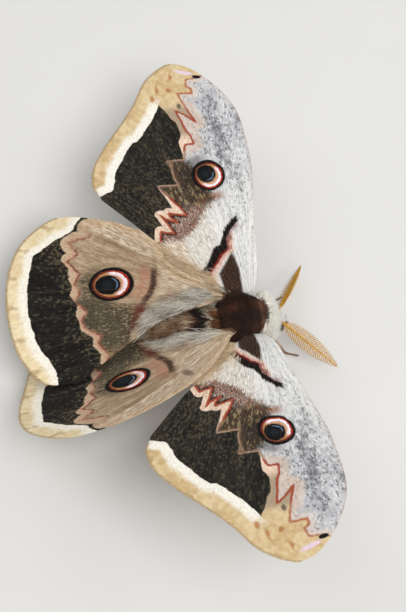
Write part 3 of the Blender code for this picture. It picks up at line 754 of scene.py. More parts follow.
@dataclass
class Wing:
    """A wing: a thin closed shell with raised veins, a map of its plan and distances to its lines."""

    name: str
    shape: WingShape
    pose: WingPose
    half_thickness: float = 0.13
    vein_rise: float = 0.13
    vein_half: float = 0.24
    pleat: float = 0.16
    waist: float = 0.62

    @property
    def hind(self) -> bool:
        """Tells a hindwing from a forewing."""
        return self.name.startswith("hind")

    @property
    def slot(self) -> str:
        """Names the record's material slot of the wing."""
        return "hindwing" if self.hind else "forewing"

    def grid(self) -> Arrays:
        """Spreads a grid over the plan.

        Along, each vein is a Catmull-Rom curve read at even steps; across, the veins' points at one step
        are joined by another such cubic, so the margin is as smooth as the veins. Towards the hinge the
        plan narrows to its waist, a share of its width.

        Returns:
            The plan points by across and along, and the place of each row counted in veins.
        """
        lines = np.stack([smooth_path(vein, self.shape.stations) for vein in self.shape.veins])
        ends = extended(lines)
        cells = len(lines) - 1
        at = np.linspace(0, cells, cells * self.shape.per_cell + 1)
        first = np.minimum(at.astype(int), cells - 1)
        plan = cubic([ends[first + i] for i in range(4)], (at - first)[:, None, None])
        plan[..., 1] *= self.waist + (1 - self.waist) * step(plan[..., 0], -2.4, 4.0)
        return plan, at

    def outline(self) -> Array:
        """Returns the corners of the whole plan, once round."""
        plan, _ = self.grid()
        return np.concatenate([plan[0], plan[1:, -1], plan[-1, -2::-1]])

    def build(self, place: Place, finish: bpy.types.Material) -> None:
        """Makes the shell: the plan bent and placed, two sheets with raised veins, closed at the rim.

        The rise above the plan is half the thickness, less at the rim, plus a bell of the distance to the
        nearest vein; between veins the whole sheet is lifted or lowered by an arch, the wing's soft pleat.

        Args:
            place: the change to the model's metres.
            finish: the wing's scales.
        """
        plan, at = self.grid()
        rows, columns = plan.shape[:2]
        near = np.rint(at).astype(int) * self.shape.per_cell
        vein = np.linalg.norm(plan - plan[near], axis=-1)
        cell = np.abs(at - np.rint(at))[:, None] * np.ones(columns)
        along = np.linspace(0, 1, columns)[None, :] * np.ones((rows, 1))
        rim = np.minimum(np.minimum(along * 30, (1 - along) * 12), np.minimum(at, at[-1] - at)[:, None] * 3)
        thin = 0.35 + 0.65 * np.clip(rim, 0, 1)
        bell = self.vein_rise * np.exp(-((vein / self.vein_half) ** 2)) * (1.15 - 0.5 * along)
        swing = np.where(np.floor(at).astype(int) % 2 == 0, 1.0, -0.6)[:, None]
        fold = self.pleat * np.sin(np.pi * (at - np.floor(at)))[:, None] * swing * np.sin(np.pi * along**0.8)
        fold = fold * np.clip(rim, 0, 1)
        rise = (self.half_thickness + bell) * thin
        top = self.pose.put(plan, fold + rise)
        low = self.pose.put(plan, fold - rise)
        points = np.concatenate([top.reshape(-1, 3), low.reshape(-1, 3)])
        index = np.arange(rows * columns).reshape(rows, columns)
        quads = np.stack([index[:-1, :-1], index[:-1, 1:], index[1:, 1:], index[1:, :-1]], -1).reshape(-1, 4)
        under = quads[:, ::-1] + rows * columns
        ring = np.concatenate([index[0, :-1], index[:-1, -1], index[-1, :0:-1], index[:0:-1, 0]])
        after = np.roll(ring, -1)
        wall = np.stack([after, ring, ring + rows * columns, after + rows * columns], -1)
        faces = np.concatenate([quads, under, wall])
        if self.pose.side is Side.RIGHT:
            faces = faces[:, ::-1]
        flat = plan.reshape(-1, 2)
        both = np.concatenate([flat, flat])
        sheet = np.repeat([0.0, 1.0], rows * columns)
        tip = 2.0 if self.hind else 3.0
        piece = MeshPiece(self.name + "_scales", points, faces)
        piece.floats = {
            "vein": np.tile(vein.ravel(), 2),
            "cell": np.tile(cell.ravel(), 2),
            "margin": line_distance(both, plan[at >= tip, -1]),
            "front": line_distance(both, np.concatenate([plan[0, ::6], plan[at <= tip, -1]])),
            "border": signed(both, tuple(smooth_path(self.shape.border, 90)), FAR),
            "under": sheet,
        }
        piece.floats |= {label: signed(both, getattr(self.shape, label), FAR) for label in LINES[1:]}
        if not self.hind:
            piece.floats |= {"median": signed(both, MEDIAN, FAR), "nook": signed(both, NOOK)}
        corner = faces.ravel()
        piece.maps["WingMap"] = both[corner] * MAP_SCALE
        bake = both * BAKE_SCALE + BAKE_CORNER
        bake[:, 1] += sheet * 0.5
        middle = bake[: rows * columns].mean(axis=0)
        edge = bake[ring] + unit(bake[ring] - middle) * 0.004
        uv = bake[corner].reshape(-1, 4, 2)
        first_wall = len(quads) + len(under)
        outer = np.zeros((2 * rows * columns, 2))
        outer[ring + rows * columns] = edge
        low_corner = faces[first_wall:] >= rows * columns
        uv[first_wall:] = np.where(low_corner[..., None], outer[faces[first_wall:]], bake[faces[first_wall:]])
        piece.maps["OFBake"] = uv.reshape(-1, 2)
        hang(piece.build(place), finish, (self.name,))


class Marks(SimpleNamespace):
    """The values that a wing's pattern is made from, by name: places, noises and distances to lines."""


@dataclass(frozen=True)
class WingScales:
    """What both kinds of wing share: the map, the powder of scales and the pale margin."""

    name: str
    fan_point: float = 8.0

    def start(self) -> tuple[Shader, Marks]:
        """Adds the values that the patterns are made from.

        Streaks and scales are laid in polar coordinates about a point a little behind the hinge, so that
        they run out along the wing as its veins do: the reach is the distance from that point, and the
        bearing the angle about it.

        Returns:
            The shader, and its values by name.
        """
        s = Shader(self.name)
        uv = s.node("ShaderNodeUVMap", {"uv_map": "WingMap"}, {})
        u, v = s.split(uv, 0) / MAP_SCALE, s.split(uv, 1) / MAP_SCALE
        layer = s.attribute("under") * 40
        flat = s.vector(u, v, layer)
        reach = ((u + self.fan_point) ** 2 + v**2) ** 0.5
        bearing = v.maths("ARCTAN2", v, u + self.fan_point)
        m = Marks(u=u, v=v)
        chips = s.cells(s.vector(reach * 1.5, bearing * 125, layer), 1.0)
        m.chip, m.chip2 = s.split(chips, 0), s.split(chips, 1)
        m.fleck = s.split(s.cells(s.vector(reach * 0.75, bearing * 80, layer), 1.0), 0)
        m.hair = s.noise(s.vector(reach * 0.16, bearing * 30, layer), 3.0, 3.0, 0.6)
        m.lock = s.noise(s.vector(reach * 0.10, bearing * 22, layer), 1.0, 2.0, 0.55)
        m.grain = s.noise(flat, 2.4, 3.0, 0.65)
        m.wave = s.noise(flat, 0.62, 2.0, 0.5)
        m.patch = s.noise(flat, 0.20, 2.0)
        m.ragged = (m.hair - 0.5) * 1.8 + (m.chip - 0.5) * 0.5
        for label in (*DISTANCES, *LINES, "under"):
            setattr(m, label, s.attribute(label))
        return s, m

    def near(self, m: Marks, middle: Pair, half: Pair,
             way: Pair = (1.0, 0.0)) -> Value:
        """Measures how far out a place is in an ellipse, 1 on its edge.

        Args:
            m: the shader's values.
            middle: the ellipse's middle on the plan.
            half: its half axes, along its way and across it.
            way: the direction of its first axis.

        Returns:
            The length of the turned, scaled offset, with ragged noise.
        """
        du, dv = m.u - middle[0], m.v - middle[1]
        size = math.hypot(*way)
        cosine, sine = way[0] / size, way[1] / size
        along = (du * cosine + dv * sine) / half[0]
        aside = (dv * cosine - du * sine) / half[1]
        return (along**2 + aside**2) ** 0.5 + m.ragged * 0.22

    def close(self, s: Shader, m: Marks, colour: Value) -> bpy.types.Material:
        """Gives each scale its own tone, greys the underside and adds the relief of the scales.

        Args:
            s: the shader.
            m: its values.
            colour: the pattern.

        Returns:
            The material.
        """
        colour = s.mix(m.chip2.down(0.0, 0.5) * 0.10, colour, (46, 38, 34))
        colour = s.mix(m.vein.down(0.02, 0.24) * 0.10, colour, (128, 106, 84))
        speck = s.mix(m.grain.up(0.35, 0.65), (146, 134, 122), (192, 184, 172))
        colour = s.mix(m.under * 0.42, colour, speck)
        relief = m.chip * 0.4 + m.hair * 0.6
        rough = 0.74 + 0.2 * m.grain
        fixed = {"Specular IOR Level": 0.12, "Sheen Weight": 0.02, "Sheen Roughness": 0.5}
        return s.finish(colour, fixed, relief, 0.035, rough)


class ForewingScales(WingScales):
    """Pale costal field, speckled brown middle, zigzag, dark band, white border and ochre apex."""

    def material(self) -> bpy.types.Material:
        """Paints the forewing from the ground outward.

        Returns:
            The material.
        """
        s, m = self.start()
        m.median, m.nook = s.attribute("median"), s.attribute("nook")
        colour = self.ground(s, m)
        colour = self.middle(s, m, colour)
        colour = self.base(s, m, colour)
        colour = self.band(s, m, colour)
        colour = self.apex(s, m, colour)
        spot = Eyespot((33.3, 2.1), (4.6, 4.5), 0.0, (-0.72, -0.69), -0.035)
        return self.close(s, m, spot.paint(s, m.u, m.v, m.ragged, colour))

    def ground(self, s: Shader, m: Marks) -> Value:
        """Paints the grey-white costal field with its dark dusting, and the hairy pale base.

        Args:
            s: the shader.
            m: the values that it works with.

        Returns:
            The first colour.
        """
        u, v, ragged, hair, chip = m.u, m.v, m.ragged, m.hair, m.chip
        lilac = s.mix(m.patch.up(0.35, 0.65), (212, 211, 212), (192, 193, 197))
        snow = s.mix(u.down(16, 46), lilac, (242, 240, 234))
        tone = hair * 0.55 + m.lock * 0.45
        colour = s.mix(tone.up(0.36, 0.60) * 0.55, snow, (170, 171, 174))
        crowd = 0.10 * u.up(16, 34) + (m.wave - 0.5) * 0.6 + (m.lock - 0.5) * 0.6
        for middle, half in (
            ((43.6, -4.6), (5.5, 1.7)), ((39.5, -2.5), (4.5, 1.5)), ((33.5, -4.6), (6.5, 1.5)),
            ((56.3, -4.4), (3.2, 1.5)), ((50.4, -10.8), (4.0, 1.2)), ((49.5, -3.0), (5.0, 2.0)),
        ):
            crowd = crowd + self.near(m, middle, half, (1.0, 0.12)).down(0.1, 1.4) * 0.42
        colour = s.mix((crowd + 0.9 * (hair - 0.5)).up(0.08, 0.70) * 0.62, colour, (118, 120, 126))
        colour = s.mix((chip + crowd * 0.75).up(0.84, 1.05) * 0.60, colour, (74, 76, 82))
        snowy = (chip + (m.wave - 0.5) * 0.8).down(0.02, 0.35) * (1 - crowd.up(0.2, 0.8))
        colour = s.mix(snowy * 0.55, colour, (242, 241, 238))
        rim = m.front.down(0.15, 0.75) * u.up(6, 22)
        colour = s.mix(rim * (0.2 + 0.35 * m.grain.up(0.4, 0.6)), colour, (196, 168, 152))
        cream = s.mix(hair.up(0.36, 0.62), (240, 237, 228), (200, 190, 178))
        dusting = (m.chip2 + 1.1 * (m.wave - 0.5) + 0.5 * (m.lock - 0.5)).up(0.82, 1.05)
        cream = s.mix(dusting * 0.6, cream, (104, 88, 80))
        lower = (v + 1.5 * ragged).up(2.0, 7.5) * (u + ragged).down(22.0, 30.0)
        colour = s.mix(lower, colour, cream)
        rosy = (v + 0.25 * u + ragged).up(15.5, 19.0) * u.down(20, 25)
        colour = s.mix(rosy * hair.up(0.34, 0.60) * 0.4, colour, (168, 128, 108))
        buff = s.mix(hair.up(0.38, 0.60), (240, 228, 208), (178, 154, 128))
        return s.mix((v - 0.25 * u + ragged).up(8.5, 11.0) * u.down(14, 18), colour, buff)

    def middle(self, s: Shader, m: Marks, colour: Value) -> Value:
        """Paints the speckled brown middle, the rust at its edge and the warm mark before the eyespot.

        Args:
            s: the shader.
            m: the values that it works with.
            colour: what is painted so far.

        Returns:
            The colour with it.
        """
        u, v, ragged, chip = m.u, m.v, m.ragged, m.chip
        beige = m.rust.band(-2.6, 0.3, 0.8) * u.band(40.5, 57, 1.5) * (0.4 + 0.6 * m.grain.up(0.4, 0.6))
        colour = s.mix(beige * 0.8, colour, (214, 186, 162))
        brown = s.mix(m.grain.up(0.38, 0.64), (52, 42, 34), (92, 76, 58))
        brown = s.mix((m.fleck + (m.wave - 0.5) * 0.8).up(0.74, 0.86) * 0.65, brown, (166, 144, 108))
        brown = s.mix(chip.down(0.10, 0.24) * 0.7, brown, (30, 25, 22))
        into = m.median + 1.1 * ragged + 2.2 * (m.wave - 0.5)
        share = into.up(-1.3, 1.3)
        colour = s.mix(share * (0.35 + 0.65 * (chip + share - 0.5).up(0.25, 0.6)), colour, brown)
        light = into.up(0.5, 2.0) * u.down(22.5, 26.5)
        pinkish = s.mix(m.grain.up(0.4, 0.6), (206, 188, 176), (142, 116, 104))
        pinkish = s.mix(chip.down(0.15, 0.35) * 0.8, pinkish, (48, 36, 33))
        colour = s.mix(light * 0.8, colour, pinkish)
        flush = (m.median + 0.8 * ragged).band(-0.4, 3.4, 1.0) * u.down(24, 28)
        flush = flush * (m.chip2 * 0.5 + m.grain).up(0.72, 0.92)
        colour = s.mix(flush * 0.7, colour, (146, 84, 60))
        warm = self.near(m, (27.0, 1.2), (1.4, 2.2))
        colour = s.mix(warm.down(0.3, 1.3) * 0.6, colour, (158, 104, 74))
        halo = self.near(m, (33.8, 3.6), (6.6, 6.6))
        return s.mix(halo.down(0.74, 1.05) * 0.6 * (v + ragged).up(0.5, 4.0), colour, (46, 36, 32))

    def band(self, s: Shader, m: Marks, colour: Value) -> Value:
        """Paints the cream zigzag, the dark band with its flecks, and the rust and maroon lines.

        Args:
            s: the shader.
            m: the values that it works with.
            colour: what is painted so far.

        Returns:
            The colour with it.
        """
        u, ragged = m.u, m.ragged
        zig = m.zigzag + ragged * 0.30
        zig = zig.maths("MAXIMUM", zig, m.rust - 1.5 - 11.0 * u.up(27.5, 31.0))
        rust = m.rust + ragged * 0.22
        cream = s.mix(m.grain.up(0.38, 0.62), (242, 224, 204), (220, 182, 154))
        cream = s.mix(u.band(46.5, 56.5, 1.2) * 0.75, cream, (150, 132, 106))
        cream = s.mix(u.band(29.5, 41.0, 0.8) * 0.7, cream, (150, 120, 98))
        flecks = (m.chip2 + m.wave - 0.5).up(0.72, 0.95) * 0.5 * u.down(27.0, 30.0)
        cream = s.mix(flecks, cream, (120, 84, 66))
        colour = s.mix(rust.up(-0.12, 0.12), colour, cream)
        dusk = s.mix((m.hair * 0.6 + m.lock * 0.4).up(0.40, 0.62), (25, 24, 22), (48, 45, 38))
        dense = 0.10 * zig.down(0.5, 8.0) + 0.16 * u.down(30, 46) + (m.lock - 0.5) * 0.5
        dusk = s.mix((m.chip + dense).up(0.78, 1.10) * 0.42, dusk, (108, 98, 76))
        colour = s.mix(zig.up(-0.10, 0.14), colour, dusk)
        sides = u.down(27.5, 31.0) + u.band(41.5, 62.5, 0.8)
        line = abs(rust + 0.05).down(0.14, 0.46)
        colour = s.mix(line * (0.55 + 0.4 * sides), colour, s.mix(sides, (138, 104, 84), (158, 66, 40)))
        maroon = (rust + 0.45).band(-0.32, 0.14, 0.14) * u.down(26.0, 29.5) * m.wave.up(0.34, 0.5)
        return s.mix(maroon * 0.95, colour, (40, 16, 15))

    def apex(self, s: Shader, m: Marks, colour: Value) -> Value:
        """Paints the tan apex with its arcs, the border turning tan, the pink streak and dark spots.

        Args:
            s: the shader.
            m: the values that it works with.
            colour: what is painted so far.

        Returns:
            The colour with it.
        """
        u, v, ragged, grain = m.u, m.v, m.ragged, m.grain
        soft = m.patch * 0.5 + m.wave * 0.5
        tan = s.mix(soft.up(0.36, 0.66), (226, 204, 162), (204, 174, 126))
        tip = m.rust.up(-0.1, 0.3) * (m.zigzag - 0.1).down(-0.3, 0.1) * (u + 0.3 * ragged).up(54.0, 57.5)
        colour = s.mix(tip, colour, tan)
        inner = m.rust.band(-1.5, 0.0, 0.6) * (u - 0.4 * v).up(52.0, 56.0)
        colour = s.mix(inner * (0.3 + 0.6 * grain.up(0.40, 0.60)), colour, (226, 206, 188))
        line = abs(m.rust + 0.1 * ragged).down(0.10, 0.50) * u.up(55.0, 58.0) * m.wave.up(0.30, 0.5)
        colour = s.mix(line * 0.85, colour, (176, 104, 66))
        white = s.mix(grain.up(0.38, 0.62), (252, 250, 242), (240, 232, 214))
        bor = m.border + ragged * 0.10 + (m.wave - 0.5) * 0.8
        edge = s.mix((bor + 0.9 * (m.patch - 0.5)).up(1.7, 3.3), white, tan)
        dim = m.cell.up(0.15, 0.5) * m.margin.down(0.3, 2.4) * soft.up(0.35, 0.6)
        edge = s.mix(dim * 0.45, edge, (164, 132, 84))
        edge = s.mix((u + 1.5 * (m.wave - 0.5)).down(56.5, 60.5), tan, edge)
        colour = s.mix(bor.up(-0.10, 0.12), colour, edge)
        rust = (178, 116, 62)
        for middle, half, way in (
            ((63.4, 9.2), (2.5, 0.62), (-0.9, 0.35)), ((66.4, 4.8), (1.7, 0.60), (-0.9, 0.35)),
            ((59.8, 11.5), (1.2, 0.60), (-0.9, 0.3)), ((61.6, 6.6), (0.8, 0.6), (1.0, 0.0)),
        ):
            bent = self.near(m, (middle[0] + 0.9, middle[1] - 1.6), (half[0] * 1.5, 2.2), way)
            arc = self.near(m, middle, half, way).down(0.5, 1.5) * bent.up(0.55, 0.9)
            colour = s.mix(arc * 0.85, colour, rust)
        gleam = self.near(m, (66.7, 1.1), (3.0, 0.62), (0.38, 0.92))
        colour = s.mix(gleam.down(0.75, 1.1), colour, (232, 208, 222))
        spot = self.near(m, (64.6, -2.2), (1.35, 0.62), (0.25, 0.97))
        colour = s.mix(spot.down(0.75, 1.1), colour, (20, 18, 24))
        dot = self.near(m, (56.0, 4.9), (1.1, 0.8))
        return s.mix(dot.down(0.4, 1.1) * 0.8, colour, (62, 56, 50))

    def base(self, s: Shader, m: Marks, colour: Value) -> Value:
        """Paints the dark root field, its rosy and red lines and the black streak beyond them.

        Args:
            s: the shader.
            m: the values that it works with.
            colour: what is painted so far.

        Returns:
            The colour with it.
        """
        v, ragged = m.v, m.ragged
        reach = (v + 0.3 * ragged).up(-3.0, -2.0)
        root = m.root + 0.42 * ragged
        basal = m.basal + 0.75 * ragged + (m.wave - 0.5) * 0.6
        inner = (root + 1.5).up(-0.9, 0.4) * root.down(-0.1, 0.1) * (v + 0.4 * ragged).up(-0.8, 1.0)
        rosy = s.mix(m.hair.up(0.36, 0.62), (238, 216, 202), (200, 150, 130))
        colour = s.mix(inner * 0.95, colour, rosy)
        dark = s.mix(m.grain.up(0.42, 0.62), (40, 27, 22), (68, 46, 36))
        dark = s.mix(m.chip.up(0.88, 0.94) * 0.5, dark, (120, 96, 80))
        colour = s.mix((m.nook + 0.35 * ragged).up(-0.45, 0.35), colour, dark)
        red = (root + 0.35).band(-0.30, 0.55, 0.14) * reach * (0.45 + 0.55 * (v + ragged).up(0.0, 3.0))
        colour = s.mix(red, colour, (124, 34, 28))
        thread = (root + 1.0).band(-0.12, 0.12, 0.12) * reach * m.wave.up(0.4, 0.5)
        colour = s.mix(thread * 0.6, colour, (170, 80, 62))
        black = root.up(-0.12, 0.12) * basal.down(-0.2, 0.2) * reach
        colour = s.mix(black, colour, (22, 15, 15))
        speck = self.near(m, (14.2, 0.9), (1.1, 0.7))
        return s.mix(speck.down(0.4, 1.2) * 0.7, colour, (104, 64, 52))


class HindwingScales(WingScales):
    """Hairy tan ground, great eyespot, dark band with its pink zigzag, and the pale border."""

    def material(self) -> bpy.types.Material:
        """Paints the hindwing from the ground outward.

        Returns:
            The material.
        """
        s, m = self.start()
        colour = self.ground(s, m)
        colour = self.band(s, m, colour)
        colour = self.edge(s, m, colour)
        spot = Eyespot((26.8, 4.2), (5.8, 4.45), 16.0, (-0.95, -0.30), 0.02)
        return self.close(s, m, spot.paint(s, m.u, m.v, m.ragged, colour))

    def ground(self, s: Shader, m: Marks) -> Value:
        """Paints sand in front, bran behind, cream at the root and the dark arc between root and eyespot.

        Args:
            s: the shader.
            m: the values that it works with.

        Returns:
            The first colour.
        """
        u, v, ragged, hair, chip = m.u, m.v, m.ragged, m.hair, m.chip
        bas = m.basal + ragged * 0.5
        tone = hair * 0.5 + m.lock * 0.5
        sand = s.mix(tone.up(0.38, 0.62), (190, 167, 138), (150, 124, 97))
        sand = s.mix(chip.up(0.86, 0.92) * 0.35, sand, (104, 84, 66))
        bran = s.mix(m.grain.up(0.38, 0.62), (58, 50, 40), (98, 84, 65))
        bran = s.mix((m.chip2 + (m.wave - 0.5)).up(0.62, 0.80) * 0.6, bran, (164, 148, 118))
        bran = s.mix(chip.down(0.08, 0.2) * 0.5, bran, (42, 36, 28))
        into = v + 0.10 * (30.0 - u) + 3.0 * (m.patch - 0.5) + 1.2 * ragged
        ground = s.mix(into.up(7.6, 11.0) * u.up(15.5, 18.5), sand, bran)
        moss = (m.rust + ragged).band(-6.0, -0.4, 1.0) * (v + 1.5 * ragged).up(1.0, 6.0)
        speckled = (chip + 0.6 * (m.wave - 0.5)).up(0.38, 0.55)
        ground = s.mix(moss * (0.15 + 0.8 * speckled), ground, (80, 74, 58))
        fold = (v - 0.62 * u + 1.2 * ragged).up(5.5, 8.5) * u.down(30, 36)
        ground = s.mix(fold * 0.6, ground, s.mix(hair.up(0.38, 0.60), (168, 142, 110), (98, 74, 54)))
        root = s.mix(hair.up(0.38, 0.60), (222, 206, 182), (172, 146, 120))
        ground = s.mix(bas.down(-3.0, -0.3), ground, root)
        flush = bas.band(0.4, 4.0, 0.9) * (v + 0.5 * ragged).band(-2.0, 6.0, 1.5)
        ground = s.mix(flush * (0.2 + 0.7 * hair.up(0.38, 0.60)), ground, (178, 122, 100))
        dark = s.mix(m.grain.up(0.42, 0.6), (44, 32, 28), (88, 62, 48))
        arc = (bas - 0.1).band(-0.8, 0.8, 0.45) * (v + ragged).up(-3.4, -1.4)
        ground = s.mix(arc * (0.95 - 0.4 * v.up(5, 8)), ground, dark)
        ground = s.mix(bas.band(-1.8, 2.2, 1.0) * (v + ragged).up(6.0, 9.0) * 0.85, ground, (98, 46, 38))
        nick = self.near(m, (14.8, -6.1), (2.2, 1.1), (0.3, 1.0))
        ground = s.mix(nick.down(0.4, 1.3) * 0.7, ground, (84, 64, 50))
        for middle, half in (
            ((28.5, -3.6), (9.0, 0.35)),
            ((31.0, -6.4), (9.0, 0.3)),
            ((24.0, -7.6), (8.0, 0.35)),
        ):
            streak = self.near(m, middle, half, (1.0, -0.16)).down(0.1, 1.4)
            ground = s.mix(streak * 0.4, ground, (120, 96, 76))
        front = m.front.down(0.4, 3.2)
        ground = s.mix(front * 0.55, ground, s.mix(tone.up(0.4, 0.6), (212, 186, 148), (184, 150, 112)))
        halo = self.near(m, (27.6, 4.6), (7.6, 5.9), (1.0, 0.28))
        shade = halo.down(0.8, 1.15) * (u + 0.6 * v + ragged).up(28.0, 33.0)
        ground = s.mix(shade * 0.5, ground, (84, 72, 54))
        return s.mix((u + 0.5 * ragged).down(-1.0, 1.5), ground, (88, 58, 44))

    def band(self, s: Shader, m: Marks, colour: Value) -> Value:
        """Paints the tan zigzag with its dark red line, then the dark band and its flecks.

        Args:
            s: the shader.
            m: the values that it works with.
            colour: what is painted so far.

        Returns:
            The colour with it.
        """
        v, ragged = m.v, m.ragged
        zig = m.zigzag + ragged * 0.45 + 0.45 * v.up(-4.0, 0.0)
        rust = m.rust + ragged * 0.45 + (m.wave - 0.5) * 0.6
        zig = zig.maths("MAXIMUM", zig, rust - 2.0 - 0.5 * v.down(-8.0, -4.0))
        rose = s.mix(m.grain.up(0.38, 0.62), (216, 192, 162), (184, 154, 126))
        rose = s.mix(rust.band(-0.5, 0.8, 0.4) * 0.6, rose, (204, 150, 124))
        colour = s.mix((rust.up(-0.6, 0.1) * (0.35 + 0.5 * v.up(-9.0, -3.0))), colour, rose)
        red = abs(rust + 0.1).down(0.10, 0.50) * (0.35 + 0.55 * m.wave.up(0.36, 0.54))
        colour = s.mix(red * v.up(-10.0, -5.0), colour, (118, 66, 52))
        dusk = s.mix((m.hair * 0.6 + m.lock * 0.4).up(0.40, 0.62), (20, 19, 18), (38, 35, 31))
        dense = 0.24 * zig.down(0.4, 5.0) + 0.14 * (v + ragged).down(0.0, 6.0) + (m.lock - 0.5) * 0.5
        dusk = s.mix((m.chip + dense).up(0.82, 1.10) * 0.45, dusk, (116, 105, 80))
        return s.mix(zig.up(-0.14, 0.16), colour, dusk)

    def edge(self, s: Shader, m: Marks, colour: Value) -> Value:
        """Paints the white border, turning tan outward, with a brown mark in the middle of each cell.

        Args:
            s: the shader.
            m: the values that it works with.
            colour: what is painted so far.

        Returns:
            The colour with it.
        """
        ragged = m.ragged
        bor = m.border + ragged * 0.10 + (m.wave - 0.5) * 0.7
        soft = m.patch * 0.5 + m.wave * 0.5
        tan = s.mix(soft.up(0.38, 0.62), (238, 221, 184), (226, 204, 162))
        white = s.mix(m.grain.up(0.40, 0.60), (252, 249, 240), (240, 230, 208))
        edge = s.mix((bor + 0.7 * (m.patch - 0.5)).up(1.0, 3.0), white, tan)
        bar = (m.cell + 0.25 * (m.wave - 0.5)).up(0.38, 0.5) * m.margin.band(-0.4, 2.5, 0.8)
        edge = s.mix(bar * 0.6, edge, (168, 136, 92))
        return s.mix(bor.up(-0.12, 0.14), colour, edge)


@dataclass(frozen=True)
class Blob:
    """An ellipsoid of the body's skin."""

    part: Part
    middle: Triple
    half: Triple

    def value(self, points: Array) -> Array:
        """Returns how far out points lie, 1 on the surface."""
        return np.linalg.norm((points - np.array(self.middle)) / np.array(self.half), axis=-1)

    def surface(self, rows: int = 48, columns: int = 64) -> Arrays:
        """Makes the ellipsoid: the middle plus the half axes times the unit sphere at two angles.

        Args:
            rows: rings from pole to pole.
            columns: points round a ring.

        Returns:
            Points and triangles, closed at the poles.
        """
        polar = np.linspace(0, math.pi, rows + 2)[1:-1, None]
        around = np.linspace(0, 2 * math.pi, columns, endpoint=False)[None, :]
        sphere = np.stack(
            [np.sin(polar) * np.cos(around), np.sin(polar) * np.sin(around), np.cos(polar) + 0 * around], -1
        )
        points = np.concatenate([sphere.reshape(-1, 3), [[0, 0, 1], [0, 0, -1]]])
        points = points * np.array(self.half) + np.array(self.middle)
        return points, closed_grid(rows, columns)


def joined(parts: Sequence[Arrays]) -> Arrays:
    """Puts the points and triangles of many pieces one after another.

    Args:
        parts: points and triangles of each piece.

    Returns:
        All points, and the triangles over them.
    """
    offset = np.cumsum([0] + [len(points) for points, _ in parts])
    faces = [triangles + first for (_, triangles), first in zip(parts, offset)]
    return np.concatenate([points for points, _ in parts]), np.concatenate(faces)


def closed_grid(rows: int, columns: int) -> Array:
    """Makes the triangles of a grid closed round its columns, with a pole after each end row.

    Args:
        rows: rings.
        columns: points of a ring.

    Returns:
        Triangles; the poles are the two points after the grid.
    """
    index = np.arange(rows * columns).reshape(rows, columns)
    after = np.roll(index, -1, axis=1)
    a, b, c, d = index[:-1], after[:-1], after[1:], index[1:]
    body = np.concatenate([np.stack([a, d, c], -1).reshape(-1, 3), np.stack([a, c, b], -1).reshape(-1, 3)])
    top = np.stack([np.full(columns, rows * columns), index[0], after[0]], -1)
    low = np.stack([np.full(columns, rows * columns + 1), after[-1], index[-1]], -1)
    return np.concatenate([body, top, low])


def tube(line: Array, wide: Array, tall: Array, sides: int, up: Triple) -> Arrays:
    """Carries an ellipse along a line: each point is the line's, plus width and height times cosine and sine.

    Args:
        line: the middle line.
        wide: half widths along it.
        tall: half heights along it.
        sides: points round.
        up: the direction that the height leans to.

    Returns:
        Points and triangles, closed by a pole at each end.
    """
    along = unit(np.gradient(line, axis=0))
    across = unit(np.cross(along, np.array(up, float)))
    over = np.cross(across, along)
    angle = np.linspace(0, 2 * math.pi, sides, endpoint=False)[None, :, None]
    aside = across[:, None] * wide[:, None, None] * np.cos(angle)
    upward = over[:, None] * tall[:, None, None] * np.sin(angle)
    points = (line[:, None] + (aside + upward)).reshape(-1, 3)
    return np.concatenate([points, line[:1], line[-1:]]), closed_grid(len(line), sides)


@dataclass
class Leg:
    """A leg's middle line from hip to claw, on the left side, and its swelling joints."""

    line: tuple[Triple, ...]
    halves: tuple[float, ...] = (1.0, 0.95, 0.62, 0.66, 0.34, 0.30)

    def path(self, side: Side, count: int = 60) -> Array:
        """Returns the middle line on one side."""
        return smooth_path(np.array(self.line) * (side.value, 1, 1), count)

    def surface(self, side: Side) -> Arrays:
        """Makes the leg: a round tube that narrows from hip to claw and at each of five foot joints.

        Args:
            side: the side that it stands on.

        Returns:
            Points and triangles.
        """
        line = self.path(side)
        share = np.linspace(0, 1, len(line))
        half = np.interp(share, np.linspace(0, 1, len(self.halves)), self.halves)
        foot = np.clip((share - 0.70) / 0.3, 0, 1)
        half = half * (1 - 0.16 * (foot > 0) * np.cos(foot * 10 * math.pi) ** 8)
        points, faces = tube(line, half, half, 14, (0.1, 0.05, 1))
        points[:, 2] = np.maximum(points[:, 2], FLOOR)
        return points, faces


FLOOR = -10.5
LEGS = {
    "fore": Leg(((2.6, -4.6, -6.4), (6.4, -8.2, -5.0), (7.6, -11.2, -9.7), (9.2, -15.0, -10.2))),
    "mid": Leg(((3.6, -0.4, -7.0), (9.0, -0.8, -4.6), (12.6, -0.6, -9.7), (17.2, 0.4, -10.2))),
    "hind": Leg(((3.0, 3.6, -6.6), (7.4, 8.2, -4.2), (9.0, 15.0, -9.7), (9.8, 20.6, -10.2))),
}
BLOBS = (
    Blob(Part.THORAX, (0, -0.2, -0.4), (6.0, 5.4, 5.9)),
    Blob(Part.THORAX, (0, -4.4, -0.3), (5.3, 2.6, 4.1)),
    Blob(Part.COLLAR, (0, -6.2, -0.9), (5.5, 2.9, 4.5)),
    Blob(Part.HEAD, (0, -9.8, -4.0), (2.3, 2.4, 2.3)),
    Blob(Part.HEAD, (0.75, -11.6, -5.3), (0.55, 1.0, 0.8)),
    Blob(Part.HEAD, (-0.75, -11.6, -5.3), (0.55, 1.0, 0.8)),
)
SPINE = ((0, 4.4, -1.0), (0, 11, -0.8), (0, 17, -0.6), (0, 24.0, -0.2))
EYE = (2.75, -10.6, -4.4)
EYE_RADIUS = 1.15


